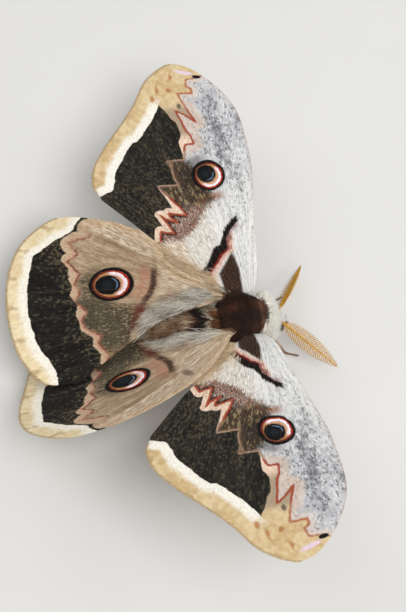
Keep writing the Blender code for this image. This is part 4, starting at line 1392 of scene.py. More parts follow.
@dataclass
class Body:
    """One skin over thorax, collar, head, abdomen and legs."""

    voxel: float = 0.26
    abdomen_wide: tuple[float, ...] = (3.2, 3.5, 2.9, 0.8)
    abdomen_tall: tuple[float, ...] = (3.4, 3.5, 2.8, 0.7)
    abdomen_rows: int = 90
    leg_half: float = 0.95

    def abdomen(self) -> Arrays:
        """Makes the abdomen: an ellipse carried along the spine, drawn in a little at each ring's joint.

        Returns:
            Points and triangles.
        """
        share = np.linspace(0, 1, self.abdomen_rows)
        knots = np.linspace(0, 1, len(SPINE))
        pinch = 1 - 0.05 * np.cos(share * 7 * 2 * math.pi) ** 6
        wide, tall = (
            smooth_path(np.stack([knots, half], -1), self.abdomen_rows)[:, 1] * pinch
            for half in (self.abdomen_wide, self.abdomen_tall)
        )
        return tube(smooth_path(SPINE, self.abdomen_rows), wide, tall, 40, (0, 0, 1))

    def part_of(self, points: Array) -> Array:
        """Tells which mass each point of the skin belongs to.

        Every mass gives a value that is 1 on its own surface; the lowest wins.

        Args:
            points: points on the skin.

        Returns:
            Part numbers.
        """
        spine = np.array(SPINE, float)
        share = np.clip((points[:, 1] - spine[0, 1]) / (spine[-1, 1] - spine[0, 1]), 0, 1)
        knots = np.linspace(0, 1, len(SPINE))
        wide = np.interp(share, knots, self.abdomen_wide)
        tall = np.interp(share, knots, self.abdomen_tall)
        middle = np.interp(share, knots, spine[:, 2])
        belly = np.hypot(points[:, 0] / wide, (points[:, 2] - middle) / tall)
        belly = belly + np.clip(spine[0, 1] + 0.5 - points[:, 1], 0, None)
        leg = np.full(len(points), 9.0)
        for shape in LEGS.values():
            for side in Side:
                path = shape.path(side, 24)[4:]
                near = np.linalg.norm(points[:, None] - path[None], axis=-1).min(axis=1)
                leg = np.minimum(leg, near / self.leg_half)
        front = [Part.THORAX, Part.COLLAR, Part.HEAD]
        values = [
            np.min([blob.value(points) for blob in BLOBS if blob.part is part], axis=0) for part in front
        ]
        return np.argmin(np.stack([*values, belly, leg]), axis=0)

    def build(self, place: Place, finish: bpy.types.Material) -> bpy.types.Object:
        """Joins the masses into one closed skin by rebuilding them on a fine grid, then softens it.

        Args:
            place: the change to the model's metres.
            finish: the skin.

        Returns:
            The skin.
        """
        masses = [blob.surface() for blob in BLOBS] + [self.abdomen()]
        masses += [leg.surface(side) for leg in LEGS.values() for side in Side]
        obj = MeshPiece("body_skin", *joined(masses)).build(place)
        mend = obj.modifiers.new("rebuild", "REMESH")
        mend.mode = "VOXEL"
        mend.voxel_size = self.voxel / 1000
        soft = obj.modifiers.new("soften", "SMOOTH")
        soft.factor = 0.5
        soft.iterations = 4
        graph = bpy.context.evaluated_depsgraph_get()
        mesh = bpy.data.meshes.new_from_object(obj.evaluated_get(graph), depsgraph=graph)
        obj.modifiers.clear()
        obj.data = mesh
        mesh.shade_smooth()
        own = np.empty(len(mesh.vertices) * 3)
        mesh.vertices.foreach_get("co", own)
        own = own.reshape(-1, 3) * 1000 - place.shift
        part = self.part_of(own)
        tint = np.concatenate([coat_colour(own, part), np.ones((len(own), 1))], 1)
        mesh.attributes.new("coat", "FLOAT_COLOR", "POINT").data.foreach_set("color", tint.ravel())
        nodes = ["thorax", "collar", "head", "abdomen"]
        nodes += [f"leg_{kind}_{side.name.lower()}" for kind in LEGS for side in Side]
        hang(obj, finish, tuple(nodes))
        return obj

    def roots(self, skin: bpy.types.Object, place: Place) -> tuple[Array, Array, Array]:
        """Reads the skin's faces: middles, normals and areas, in own millimetres.

        Args:
            skin: the body's skin.
            place: the change to the model's metres.

        Returns:
            Middles, normals and areas.
        """
        mesh = skin.data
        count = len(mesh.polygons)
        middle, normal, area = np.empty(count * 3), np.empty(count * 3), np.empty(count)
        mesh.polygons.foreach_get("center", middle)
        mesh.polygons.foreach_get("normal", normal)
        mesh.polygons.foreach_get("area", area)
        return middle.reshape(-1, 3) * 1000 - place.shift, normal.reshape(-1, 3), area


def disc_reach(points: Array) -> Array:
    """Returns how far out points lie in the ellipse of the thorax's disc, 1 on its edge."""
    return np.hypot((points[:, 0] + 0.2) / 7.1, (points[:, 1] + 0.1) / 6.7)


def coat_colour(points: Array, part: Array) -> Array:
    """Gives the markings of skin and coat at points of the body.

    The thorax is a chocolate disc inside an ellipse that reaches over the collar; before it all is white,
    and behind it come an ochre band with a cream rim, then the black first ring and the banded abdomen.
    Each band is a smooth step of the distance towards the tail, with a ripple across the body.

    Args:
        points: places in own millimetres.
        part: the mass each belongs to.

    Returns:
        Linear colours, one a row.
    """
    x, y, z = points.T
    ripple = 0.25 * np.sin(x * 3.1 + 1.0) + 0.2 * np.sin(x * 5.3 + z * 2.0)
    swirl = np.sin(x * 1.3 + 0.5) * 0.5 + np.sin(y * 0.9 + x * 0.4) * 0.5 + 0.35 * np.sin(y * 3.7 + x * 1.1)
    front = disc_reach(points)
    before_disc = step(front + 0.02 * ripple, 0.955, 1.0) * (y < 0.5)
    top = blend(rgb((46, 26, 18)), step(swirl, -0.3, 1.0) * 0.8, (100, 60, 40))
    for share, tone in (
        (step(y + ripple * 0.6, 4.7, 5.3), (134, 88, 54)),
        (step(-np.hypot((x - 2.4) / 1.3, (y - 4.6) / 1.2), -1.1, -0.7) * 0.9, (238, 226, 200)),
        (np.clip(before_disc + step(-z, 0.5, 2.5) * 0.6, 0, 1), (252, 244, 228)),
        (step(np.abs(x) + 0.3 * y, 6.6, 7.8) * (y > 0.5), (226, 212, 190)),
    ):
        top = blend(top, share, tone)
    snow = blend(rgb((255, 250, 236)), step(-z, 2.0, 5.0) * 0.5, (190, 168, 148))
    wool = np.where(((front > 0.97 + 0.02 * ripple) | (z < 0.6))[:, None], snow, top)
    face = blend(rgb((150, 112, 84)), step(z + 0.35 * (y + 12), -4.4, -3.2), (253, 250, 244))
    ring = 0.5 + 0.5 * np.cos((y - 13.0) * 2 * math.pi / 2.55 + ripple)
    belly = blend(rgb((132, 88, 56)), step(ring, 0.45, 0.8) * 0.75, (206, 178, 146))
    for share, tone in (
        (step(-z, 0.2, 2.4) * 0.8, (216, 198, 172)),
        (step(11.6 - y - ripple, 0.0, 0.8), (34, 22, 18)),
        (step(8.7 - y - ripple * 0.8, 0.0, 0.5), (232, 220, 194)),
        (step(7.6 - y - ripple * 0.8, 0.0, 0.4), (138, 88, 52)),
    ):
        belly = blend(belly, share, tone)
    shank = blend(rgb((128, 96, 70)), step(z, -9.0, -5.0), (206, 184, 158))
    return np.stack([top, wool, face, belly, shank])[part, np.arange(len(points))]


@dataclass
class Tufts:
    """Many flat tapered tufts: where each is rooted, the way it leans and lies, its size and its colour."""

    root: Array
    out: Array
    lie: Array
    length: Array
    width: Array
    lift: Array
    colour: Array
    flat: Array
    sink: float = 0.3
    steps: int = 4
    # The next three shares paint light and shade into each tuft's colour: painted shade at the root, where
    # the tufts shade each other, rising to painted light along the tuft and at its point.
    root_painted_shade: float = 0.60
    pale: float = 1.06
    tip: float = 1.08

    def keep(self, chosen: Array) -> "Tufts":
        """Returns only the chosen tufts.

        Args:
            chosen: which to keep.

        Returns:
            The tufts that are left.
        """
        rows = {entry.name: getattr(self, entry.name) for entry in fields(self)}
        picked = {name: row[chosen] for name, row in rows.items() if isinstance(row, Array)}
        return replace(self, **picked)

    def middle_lines(self, rng: Draw) -> Arrays:
        """Bends each tuft's middle line.

        It leaves along the lift's share of the normal and turns into its lie: the root, plus the length
        times (first way times t less half t squared, plus second way times half t squared), plus a slow
        sideways wave that grows with t.

        Args:
            rng: the seeded draw.

        Returns:
            Points of the lines by tuft and step, and the tufts' sideways directions.
        """
        lie = unit(self.lie - self.out * np.sum(self.lie * self.out, -1, keepdims=True))
        first = unit(lie * (1 - self.lift[:, None]) + self.out * self.lift[:, None])
        second = unit(lie + self.out * 0.25 * self.lift[:, None])
        side = unit(np.cross(lie, self.out))
        t = np.linspace(0, 1, self.steps + 1)[None, :, None]
        length = self.length[:, None, None]
        run = first[:, None] * (t - t * t / 2) + second[:, None] * (t * t / 2)
        phase = rng.uniform(0, 2 * math.pi, len(self.root))[:, None, None]
        wave = side[:, None] * 0.07 * (np.sin(phase + 4.5 * t) - np.sin(phase)) * t**0.5
        start = self.root - self.out * self.sink
        return start[:, None] + length * (run + wave), side

    def tuft_faces(self) -> Array:
        """Returns the triangles of one tuft: its three sides, its point and the closed root.

        Returns:
            The triangles, as numbers of the tuft's own points.
        """
        faces = []
        for ring in range(self.steps - 1):
            for k in range(3):
                a, b = ring * 3 + k, ring * 3 + (k + 1) % 3
                faces += [(a, b, b + 3), (a, b + 3, a + 3)]
        last = (self.steps - 1) * 3
        faces += [(last + k, last + (k + 1) % 3, self.steps * 3) for k in range(3)]
        faces.append((0, 2, 1))
        return np.array(faces)[:, ::-1]

    def build(self, name: str, place: Place, rng: Draw) -> bpy.types.Object:
        """Makes the tufts: a three-cornered section carried along each line, thinning to a point.

        The section's corners are half a width to either side and a third of a width outward, each times
        the taper (one less t to the 1.6).

        Args:
            name: the piece's name.
            place: the change to the model's metres.
            rng: the seeded draw.

        Returns:
            The joined tufts.
        """
        line, side = self.middle_lines(rng)
        count, rings = len(line), self.steps
        t = np.linspace(0, 1, rings + 1)
        taper = (1 - t**1.6)[None, :rings, None]
        over = unit(np.cross(side[:, None], np.gradient(line, axis=1)))[:, :rings]
        over = over * np.sign(np.sum(over * self.out[:, None], -1, keepdims=True) + 1e-9)
        half = self.width[:, None, None] * taper / 2
        beside = side[:, None] * half
        spine = line[:, :rings]
        corners = np.stack([spine - beside, spine + beside, spine + over * half * 0.7], 2)
        points = np.concatenate([corners.reshape(count, rings * 3, 3), line[:, -1:]], 1)
        per_tuft = rings * 3 + 1
        faces = (self.tuft_faces() + np.arange(count)[:, None, None] * per_tuft).reshape(-1, 3)
        # Painted shade at each tuft's root, rising to painted light towards its point.
        along = np.repeat(self.root_painted_shade + (self.pale - self.root_painted_shade) * t[:rings], 3)
        shade = np.concatenate([along, [self.tip]])
        own = self.colour * rng.uniform(0.78, 1.25, (count, 1))
        colours = (own[:, None] * shade[None, :, None]).reshape(-1, 3)
        local = np.stack([np.repeat(t[:rings], 3), np.tile([0.0, 1.0, 0.5], rings)], -1)
        local = np.concatenate([local, [(1.0, 0.5)]])
        patch = (self.flat[:, None] + (local[None] - 0.5) * TUFT_PATCH).reshape(-1, 2)
        piece = MeshPiece(name, points.reshape(-1, 3), faces)
        piece.colours["coat"] = np.clip(colours, 0, 1)
        piece.maps["OFBake"] = patch[faces.ravel()]
        return piece.build(place)


def body_unwrap(points: Array) -> Array:
    """Unwraps the body like a tube cut along the belly: the angle round its axis, and the place along it."""
    angle = np.arctan2(points[:, 0], points[:, 2] + 2.0) / (2 * math.pi) + 0.5
    return np.stack([0.02 + 0.96 * angle, 0.02 + 0.96 * (points[:, 1] + 17) / 45], -1)


@dataclass
class Coat:
    """Draws and lays the tufts of one mass of the body."""

    name: str
    part: Part
    slot: str
    count: int
    length: float
    width: float
    lift: float
    way: Triple
    spread: float
    blockers: dict[str, Wing] = field(default_factory=dict)
    # Painted shade at each tuft's root, as a share of its colour.
    root_painted_shade: float = 0.60

    def weight(self, middle: Array, part: Array, area: Array) -> Array:
        """Gives each face its share of the roots: its area, where it belongs to the mass."""
        return np.where(part == self.part.value, area, 0)

    def lie(self, root: Array) -> Array:
        """Gives the way that the hair at each root lies, spreading with the distance from the midline."""
        return np.array(self.way) + np.outer(root[:, 0] * self.spread, (1, 0, 0))

    def scale(self, root: Array) -> Array:
        """Gives the share of the full length at each root."""
        return np.ones(len(root))

    def shade(self, root: Array, part: Array, rng: Draw) -> Array:
        """Gives each tuft the colour that its root has."""
        return coat_colour(root, part)

    def lay(self, body: Body, skin: bpy.types.Object, place: Place, finish: bpy.types.Material) -> None:
        """Roots tufts at random over the mass, leans them along the lie and drops those that cross a wing.

        Args:
            body: the body.
            skin: its skin, which the tufts grow from.
            place: the change to the model's metres.
            finish: the coat.
        """
        rng = np.random.default_rng(SEED + self.count)
        middle, normal, area = body.roots(skin, place)
        part = body.part_of(middle)
        weight = self.weight(middle, part, area)
        chosen = rng.choice(len(middle), self.count, p=weight / weight.sum())
        jitter = rng.normal(0, 0.12, (self.count, 3))
        out = normal[chosen]
        root = middle[chosen] + jitter - out * np.sum(jitter * out, -1, keepdims=True)
        lie = self.lie(root) + rng.normal(0, 0.14, root.shape)
        length = self.length * rng.uniform(0.75, 1.2, self.count) * self.scale(root)
        tufts = Tufts(
            root, out, lie, length, self.width * rng.uniform(0.8, 1.25, self.count),
            self.lift * rng.uniform(0.7, 1.3, self.count), self.shade(root, part[chosen], rng),
            body_unwrap(root), root_painted_shade=self.root_painted_shade,
        )
        tufts = tufts.keep(self.clear(tufts))
        hang(tufts.build(self.name, place, rng), finish)

    def clear(self, tufts: Tufts) -> Array:
        """Tells which tufts cross no wing and stay above the floor.

        Args:
            tufts: the tufts.

        Returns:
            Which of them are clear.
        """
        line, _ = tufts.middle_lines(np.random.default_rng(1))
        good = line[..., 2].min(axis=1) > FLOOR + 0.1
        for wing in self.blockers.values():
            plan, height = wing.pose.read(line[:, 1:])
            over = inside(plan, wing.outline())
            start = height[:, :1] > 0
            crossing = over & ((height > -0.25) != start) | over & (np.abs(height) < 0.2)
            good &= ~crossing.any(axis=1)
        return good


class Ruff(Coat):
    """White wool of the collar, with short brown hair where the disc reaches over it."""

    def scale(self, root: Array) -> Array:
        """Shortens the hair inside the disc."""
        within = step(-disc_reach(root), -1.02, -0.94) * (root[:, 2] > 0.6)
        return 1 - 0.66 * within


class LegCoat(Coat):
    """Hair of the legs, shorter and sparser towards the feet."""

    def weight(self, middle: Array, part: Array, area: Array) -> Array:
        """Thins the roots towards the floor."""
        return super().weight(middle, part, area) * (0.25 + 0.75 * step(middle[:, 2], -9.6, -8.0))

    def lie(self, root: Array) -> Array:
        """Points the hair down and out."""
        return np.stack([np.sign(root[:, 0]) * 0.5, 0.35 * np.sign(root[:, 1] + 1), -1 + 0 * root[:, 0]], -1)

    def scale(self, root: Array) -> Array:
        """Shortens the hair towards the foot."""
        return 0.35 + 0.65 * step(root[:, 2], -9.6, -7.0)


class TailCoat(Coat):
    """Hair of the abdomen, shorter towards its tip."""

    def lie(self, root: Array) -> Array:
        """Spreads the hair wider near the thorax, over the wings' inner edges."""
        return super().lie(root) + np.outer(np.sign(root[:, 0]) * 0.6 * step(-root[:, 1], -15, -8), (1, 0, 0))

    def scale(self, root: Array) -> Array:
        """Shortens the hair towards the tip and in the bands next to the thorax."""
        return 1.15 - 0.45 * step(root[:, 1], 16, 24) - 0.35 * step(-root[:, 1], -9.5, -7.5)

    def shade(self, root: Array, part: Array, rng: Draw) -> Array:
        """Mixes cream and ochre locks into the brown behind the black ring.

        Args:
            root: the roots.
            part: each root's mass.
            rng: the seeded draw.

        Returns:
            Linear colours, one a row.
        """
        lock = np.sin(root[:, 0] * 2.3 + 1.3 * np.sin(root[:, 1] * 1.1)) + rng.normal(0, 0.35, len(root))
        behind = step(root[:, 1], 10.5, 12.0)
        colour = blend(super().shade(root, part, rng), step(lock, 0.5, 1.1) * behind * 0.8, (226, 206, 174))
        return blend(colour, step(-lock, 0.6, 1.2) * behind * 0.8, (84, 54, 36))


class Mantle(Coat):
    """The long hair round the disc of the thorax, which lies out over the wings' roots."""

    def weight(self, middle: Array, part: Array, area: Array) -> Array:
        """Keeps the roots to the upper rim of thorax and collar.

        Args:
            middle: the faces' middles.
            part: each face's mass.
            area: the faces' areas.

        Returns:
            Each face's share.
        """
        rim = np.hypot(middle[:, 0] / 6.6, (middle[:, 1] + 0.1) / 6.2)
        held = (part <= Part.COLLAR.value) & (middle[:, 2] > 0.6) & (rim > 0.5) & (middle[:, 1] > -3.6)
        return np.where(held, area, 0)

    def lie(self, root: Array) -> Array:
        """Turns the hair out from the disc's middle, and more towards the tail behind it."""
        around = np.stack([root[:, 0], root[:, 1] + 1.0, 0 * root[:, 0]], -1)
        return unit(around) + np.outer(step(root[:, 1], 0, 5) * 0.5, (0, 1, 0))

    def scale(self, root: Array) -> Array:
        """Lengthens the hair towards the sides and the back."""
        return 0.45 + 0.55 * step(root[:, 1], -4, 2) + 0.25 * step(root[:, 1], 3, 5)


@dataclass
class WingHair:
    """Long pale hair that grows from a wing's root and streams over it towards the tail."""

    wing: Wing
    label: str
    count: int
    reach: Pair
    across: Pair
    length: Pair
    width: float
    strip: float = 99.0
    fan: float = 0.0
    lift: float = 0.0
    outer: Colour = (210, 182, 144)
    # Share of brown in the gaps between locks: partly brown hair, partly painted shade.
    gap_hair_and_shade: float = 0.40
    pale: Colour = (255, 249, 236)

    def colour(self, plan: Array, inner: Array, rng: Draw) -> Array:
        """Gives cream strands near the body and the outer colour in front, in locks parted by gaps painted
        brown:
        partly brown hair, partly painted shade between the locks.

        Args:
            plan: roots on the wing's plan.
            inner: nearness to the wing's inner edge, up to 1.
            rng: the seeded draw.

        Returns:
            Linear colours, one a row.
        """
        bearing = np.arctan2(plan[:, 1], plan[:, 0] + 8)
        lock = np.sin(bearing * 41 + 1.1 * np.sin(plan[:, 0] * 0.5)) + 0.6 * np.sin(bearing * 97 + 2)
        pale = np.maximum(inner, step(-plan[:, 0], -8.0, -3.0))
        base = blend(rgb(self.outer), pale, self.pale)
        # Painted shade between the locks, partly brown hair: strands in the lock pattern's gaps turn brown,
        # more near the inner edge.
        gap_hair_and_shade_share = step(lock + rng.normal(0, 0.5, len(inner)), 0.45, 1.1)
        base = blend(base, gap_hair_and_shade_share * self.gap_hair_and_shade * (1 + inner), (104, 70, 48))
        return blend(base, (rng.random(len(inner)) < 0.07) * 0.7, (156, 88, 62))

    def build(self, place: Place, finish: bpy.types.Material) -> None:
        """Roots the strands in the wing's upper face and lays them along it.

        The lie is away from the wing's hinge, as its veins run, turned outward by the fan along both
        edges, and the strands are longest along the inner edge.

        Args:
            place: the change to the model's metres.
            finish: the hair.
        """
        rng = np.random.default_rng(SEED + self.count)
        tries = self.count * 14
        u = self.reach[0] + (self.reach[1] - self.reach[0]) * rng.random(tries) ** 1.4
        plan = np.stack([u, rng.uniform(*self.across, tries)], -1)
        grid, _ = self.wing.grid()
        far = line_distance(plan, grid[-1, ::4])
        inner = step(-far, -5.5, -0.8)
        fore = step(-line_distance(plan, grid[0, ::4]), -3.0, -0.3)
        likely = (0.22 + 0.78 * np.maximum(inner, 0.7 * fore)) * (far < self.strip)
        chosen = inside(plan, self.wing.outline()) & (rng.random(tries) < likely)
        plan, inner, fore = (rows[chosen][: self.count] for rows in (plan, inner, fore))
        root = self.wing.pose.put(plan, 0.05)
        ahead = self.wing.pose.put(plan + (0.5, 0), 0.05) - root
        aside = self.wing.pose.put(plan + (0, 0.5), 0.05) - root
        out = unit(np.cross(ahead, aside)) * self.wing.pose.side.value
        bearing = np.arctan2(plan[:, 1], plan[:, 0] + 6)
        bearing = bearing + self.fan * (inner - 0.8 * fore) * rng.uniform(0.2, 1.5, len(plan))
        lie = unit(ahead) * np.cos(bearing)[:, None] + unit(aside) * np.sin(bearing)[:, None]
        lie = lie + rng.normal(0, 0.07, root.shape)
        out_by = np.clip((plan[:, 0] - self.reach[0]) / (self.reach[1] - self.reach[0]), 0, 1)
        length = (self.length[0] + (self.length[1] - self.length[0]) * inner) * (1 - 0.35 * out_by)
        length = length * rng.uniform(0.6, 1.15, len(plan))
        tufts = Tufts(root, out, lie, length, self.width * rng.uniform(0.6, 1.2, len(plan)),
                      (self.lift + 0.08 + 0.10 * inner) * rng.uniform(0.6, 1.5, len(plan)),
                      self.colour(plan, inner, rng), plan * 0.02 + np.array([0.1, 0.3]), sink=0.1, steps=5)
        run = root[:, None] + unit(lie)[:, None] * length[:, None, None] * np.array([0.0, 0.5, 0.95])[:, None]
        slot_half = 5.7 - 0.28 * np.clip(run[..., 1] - 7, 0, None) + rng.normal(0, 0.25, (len(plan), 1))
        tufts = tufts.keep((np.abs(run[..., 0]) > slot_half).all(axis=1) | (run[:, 0, 1] < 3.5))
        hang(tufts.build(f"{self.wing.name}_{self.label}", place, rng), finish)


@dataclass
class Fringe:
    """The short fringe of scales along a wing's outer margin."""

    wing: Wing
    count: int = 2600

    def build(self, place: Place, finish: bpy.types.Material) -> None:
        """Sets flat scales round the margin, pointing outward in the wing's plane.

        Args:
            place: the change to the model's metres.
            finish: the material.
        """
        rng = np.random.default_rng(SEED + 5)
        plan, at = self.wing.grid()
        first, last = (2.0, 8.2) if self.wing.hind else (4.0, 10.6)
        edge = plan[(at > first) & (at < last), -1]
        at = np.sort(rng.uniform(0.2, lengths_along(edge)[-1] - 0.2, self.count))
        spot = read_along(edge, at)
        tangent = unit(read_along(edge, at + 0.4) - read_along(edge, at - 0.4))
        away = np.stack([tangent[:, 1], -tangent[:, 0]], -1)
        root = self.wing.pose.put(spot - away * 0.25, 0.0)
        tip = self.wing.pose.put(spot + away * 0.5, 0.0)
        aside = self.wing.pose.put(spot + tangent * 0.3, 0.0) - self.wing.pose.put(spot, 0.0)
        lie = unit(tip - root)
        out = unit(np.cross(lie, aside))
        out = out * np.sign(out[:, 2:3] + 1e-9)
        dark = (rng.random(self.count) < 0.25)[:, None]
        shade = np.where(dark, rgb((176, 144, 100)), rgb((214, 188, 142)))
        tufts = Tufts(root, out, lie + rng.normal(0, 0.10, root.shape), rng.uniform(0.45, 0.8, self.count),
                      rng.uniform(0.10, 0.18, self.count), np.full(self.count, 0.02), shade,
                      spot * BAKE_SCALE + BAKE_CORNER, sink=0.0, steps=3)
        hang(tufts.build(self.wing.name + "_fringe", place, rng), finish)


@dataclass
class Antenna:
    """A feathered antenna: a bent shaft with two ranks of fine hairy branches on each side."""

    name: str
    side: Side
    toward: Triple
    roll: float = 0.0
    base: Triple = (1.9, -11.3, -2.9)
    face: Triple = (0.43, 0.16, 0.89)
    length: float = 19.0
    branch: float = 2.35
    joints: int = 29
    hairs: int = 14

    def frame_at(self, share: Array) -> tuple[Array, Array, Array, Array]:
        """Returns the shaft's points at shares of its length, and the ways ahead, across and facing.

        Args:
            share: shares of the length.

        Returns:
            The points and the three ways.
        """
        base = np.array(self.base) * (self.side.value, 1, 1)
        face = unit(np.array(self.face) * (self.side.value, 1, 1))
        ahead = unit(np.array(self.toward))
        level = unit(np.cross(face, ahead))
        upward = np.cross(ahead, level)
        turned = math.radians(self.roll)
        across = level * math.cos(turned) + upward * math.sin(turned)
        face = upward * math.cos(turned) - level * math.sin(turned)
        points = base + ahead * self.length * share[:, None] - face * 0.8 * (share**2)[:, None]
        return points, ahead, across, face

    def build(self, place: Place, finish: bpy.types.Material) -> None:
        """Makes the shaft as a ringed tube, each branch as a thin bent tube, and the hairs on the branches.

        A branch leaves the shaft across it, turning ahead as the 1.4th power of its run, and its length is
        a sine arch of its place; the second rank is set a little on and a little lower.

        Args:
            place: the change to the model's metres.
            finish: the antenna's finish.
        """
        rng = np.random.default_rng(SEED + self.side.value)
        share = np.linspace(-0.03, 1, 97)
        line, ahead, across, face = self.frame_at(share)
        half = np.interp(share, [-0.03, 0.04, 1], [0.42, 0.34, 0.10])
        half = half * (1 + 0.12 * np.cos(share * 32 * 2 * math.pi))
        parts = [tube(line, half, half * 0.85, 10, tuple(face))]
        starts, ways, reaches, levels = [], [], [], []
        for rank, (lag, low) in enumerate(((0.0, 0.0), (0.12, 0.28))):
            k = (np.arange(self.joints) + lag) / (self.joints - 0.4)
            at = 0.05 + 0.92 * k
            arch = np.sin(math.pi * np.minimum(1.0, at**0.75 * 1.02)) ** 0.8 + 0.10
            reach = self.branch * arch * (1 - 0.12 * rank)
            for way in (-1, 1):
                starts.append(self.frame_at(at)[0] - face * low * 0.4)
                ways.append(np.full(self.joints, way))
                reaches.append(reach)
                levels.append(np.full(self.joints, -low * 0.35))
        start, way = np.concatenate(starts), np.concatenate(ways)
        reach, level = np.concatenate(reaches), np.concatenate(levels)
        t = np.linspace(0, 1, 7)
        run = across * (way * reach)[:, None, None] * t[None, :, None]
        run = run + ahead * (0.42 * reach)[:, None, None] * (t**1.4)[None, :, None]
        run = run + face * (level * reach)[:, None, None] * (t * (1 - 0.5 * t))[None, :, None]
        curves = start[:, None] + run
        for curve in curves:
            parts.append(tube(curve, np.linspace(0.13, 0.06, 7), np.linspace(0.12, 0.06, 7), 5, tuple(face)))
        obj = MeshPiece(self.name + "_branches", *joined(parts)).build(place)
        hang(obj, finish, (self.name,))
        where = rng.uniform(0.05, 0.98, (len(curves), self.hairs))
        below = np.minimum((where * 6).astype(int), 5)
        part = (where * 6 - below)[..., None]
        row = np.arange(len(curves))[:, None]
        root = (curves[row, below] * (1 - part) + curves[row, below + 1] * part).reshape(-1, 3)
        onward = np.where(rng.random(len(root)) < 0.5, 1.0, -1.0)[:, None]
        outward = np.repeat(way, self.hairs)[:, None] * across
        lie = ahead * onward + outward * 0.9 + rng.normal(0, 0.15, root.shape)
        out = np.tile(face, (len(root), 1))
        shade = np.tile(rgb((206, 158, 66)), (len(root), 1))
        column = np.repeat(np.linspace(0.05, 0.95, len(curves)), self.hairs)
        flat = np.stack([column, where.ravel() * 0.9 + 0.05], -1)
        tufts = Tufts(root, out, lie, rng.uniform(0.20, 0.34, len(root)), np.full(len(root), 0.05),
                      np.full(len(root), 0.05), shade, flat, sink=0.0, steps=2)
        hang(tufts.build(self.name + "_hairs", place, rng), finish)


@dataclass(frozen=True)
class FurFinish:
    """Hair or skin that takes its colour from the mesh, with fine streaks and a soft sheen."""

    name: str
    sheen: float = 0.06
    streak: float = 0.10

    def material(self) -> bpy.types.Material:
        """Varies the kept colour by fine noise in space.

        Returns:
            The material.
        """
        s = Shader(self.name)
        where = s.place(1.0)
        fine = s.noise(where, 4.0, 2.0, 0.6)
        tint = s.tint("coat")
        colour = s.mix(fine.up(0.35, 0.7) * self.streak, tint, (120, 96, 76))
        fixed = {"Specular IOR Level": 0.15, "Sheen Weight": self.sheen, "Sheen Roughness": 0.4}
        return s.finish(colour, fixed, fine, 0.05, 0.55 + 0.3 * fine)


@dataclass(frozen=True)
class AntennaFinish:
    """Ochre horn, softly mottled."""

    name: str = "antenna_ochre"

    def material(self) -> bpy.types.Material:
        """Varies ochre by noise.

        Returns:
            The material.
        """
        s = Shader(self.name)
        grain = s.noise(s.place(1.0), 2.2, 2.0)
        colour = s.mix(grain.up(0.35, 0.65), (222, 172, 62), (188, 138, 42))
        return s.finish(colour, {"Specular IOR Level": 0.4}, grain, 0.02, 0.45 + 0.3 * grain)


@dataclass(frozen=True)
class EyeFinish:
    """Dark glossy eye of many facets."""

    name: str = "compound_eye"

    def material(self) -> bpy.types.Material:
        """Raises a facet in each cell of a fine Voronoi pattern.

        Returns:
            The material.
        """
        s = Shader(self.name)
        cells = s.node("ShaderNodeTexVoronoi", {"feature": "F1"}, {"Vector": s.place(1.0), "Scale": 11.0})
        grain = s.noise(s.place(1.0), 1.6, 2.0)
        colour = s.mix(grain.up(0.35, 0.65), (38, 24, 20), (70, 46, 36))
        fixed = {"Coat Weight": 0.6, "Coat Roughness": 0.08, "Specular IOR Level": 0.6}
        return s.finish(colour, fixed, 1 - cells, 0.02, 0.24 + 0.12 * grain)


@dataclass
class Eye:
    """A compound eye set in the side of the head."""

    side: Side

    def build(self, place: Place, finish: bpy.types.Material) -> None:
        """Makes a round eye, a little flattened from side to side.

        Args:
            place: the change to the model's metres.
            finish: the material.
        """
        middle = (EYE[0] * self.side.value - 0.1 * self.side.value, EYE[1], EYE[2])
        blob = Blob(Part.HEAD, middle, (EYE_RADIUS * 0.95, EYE_RADIUS, EYE_RADIUS))
        points, faces = blob.surface(40, 56)
        name = f"eye_{self.side.name.lower()}"
        hang(MeshPiece(name + "_globe", points, faces).build(place), finish, (name,))


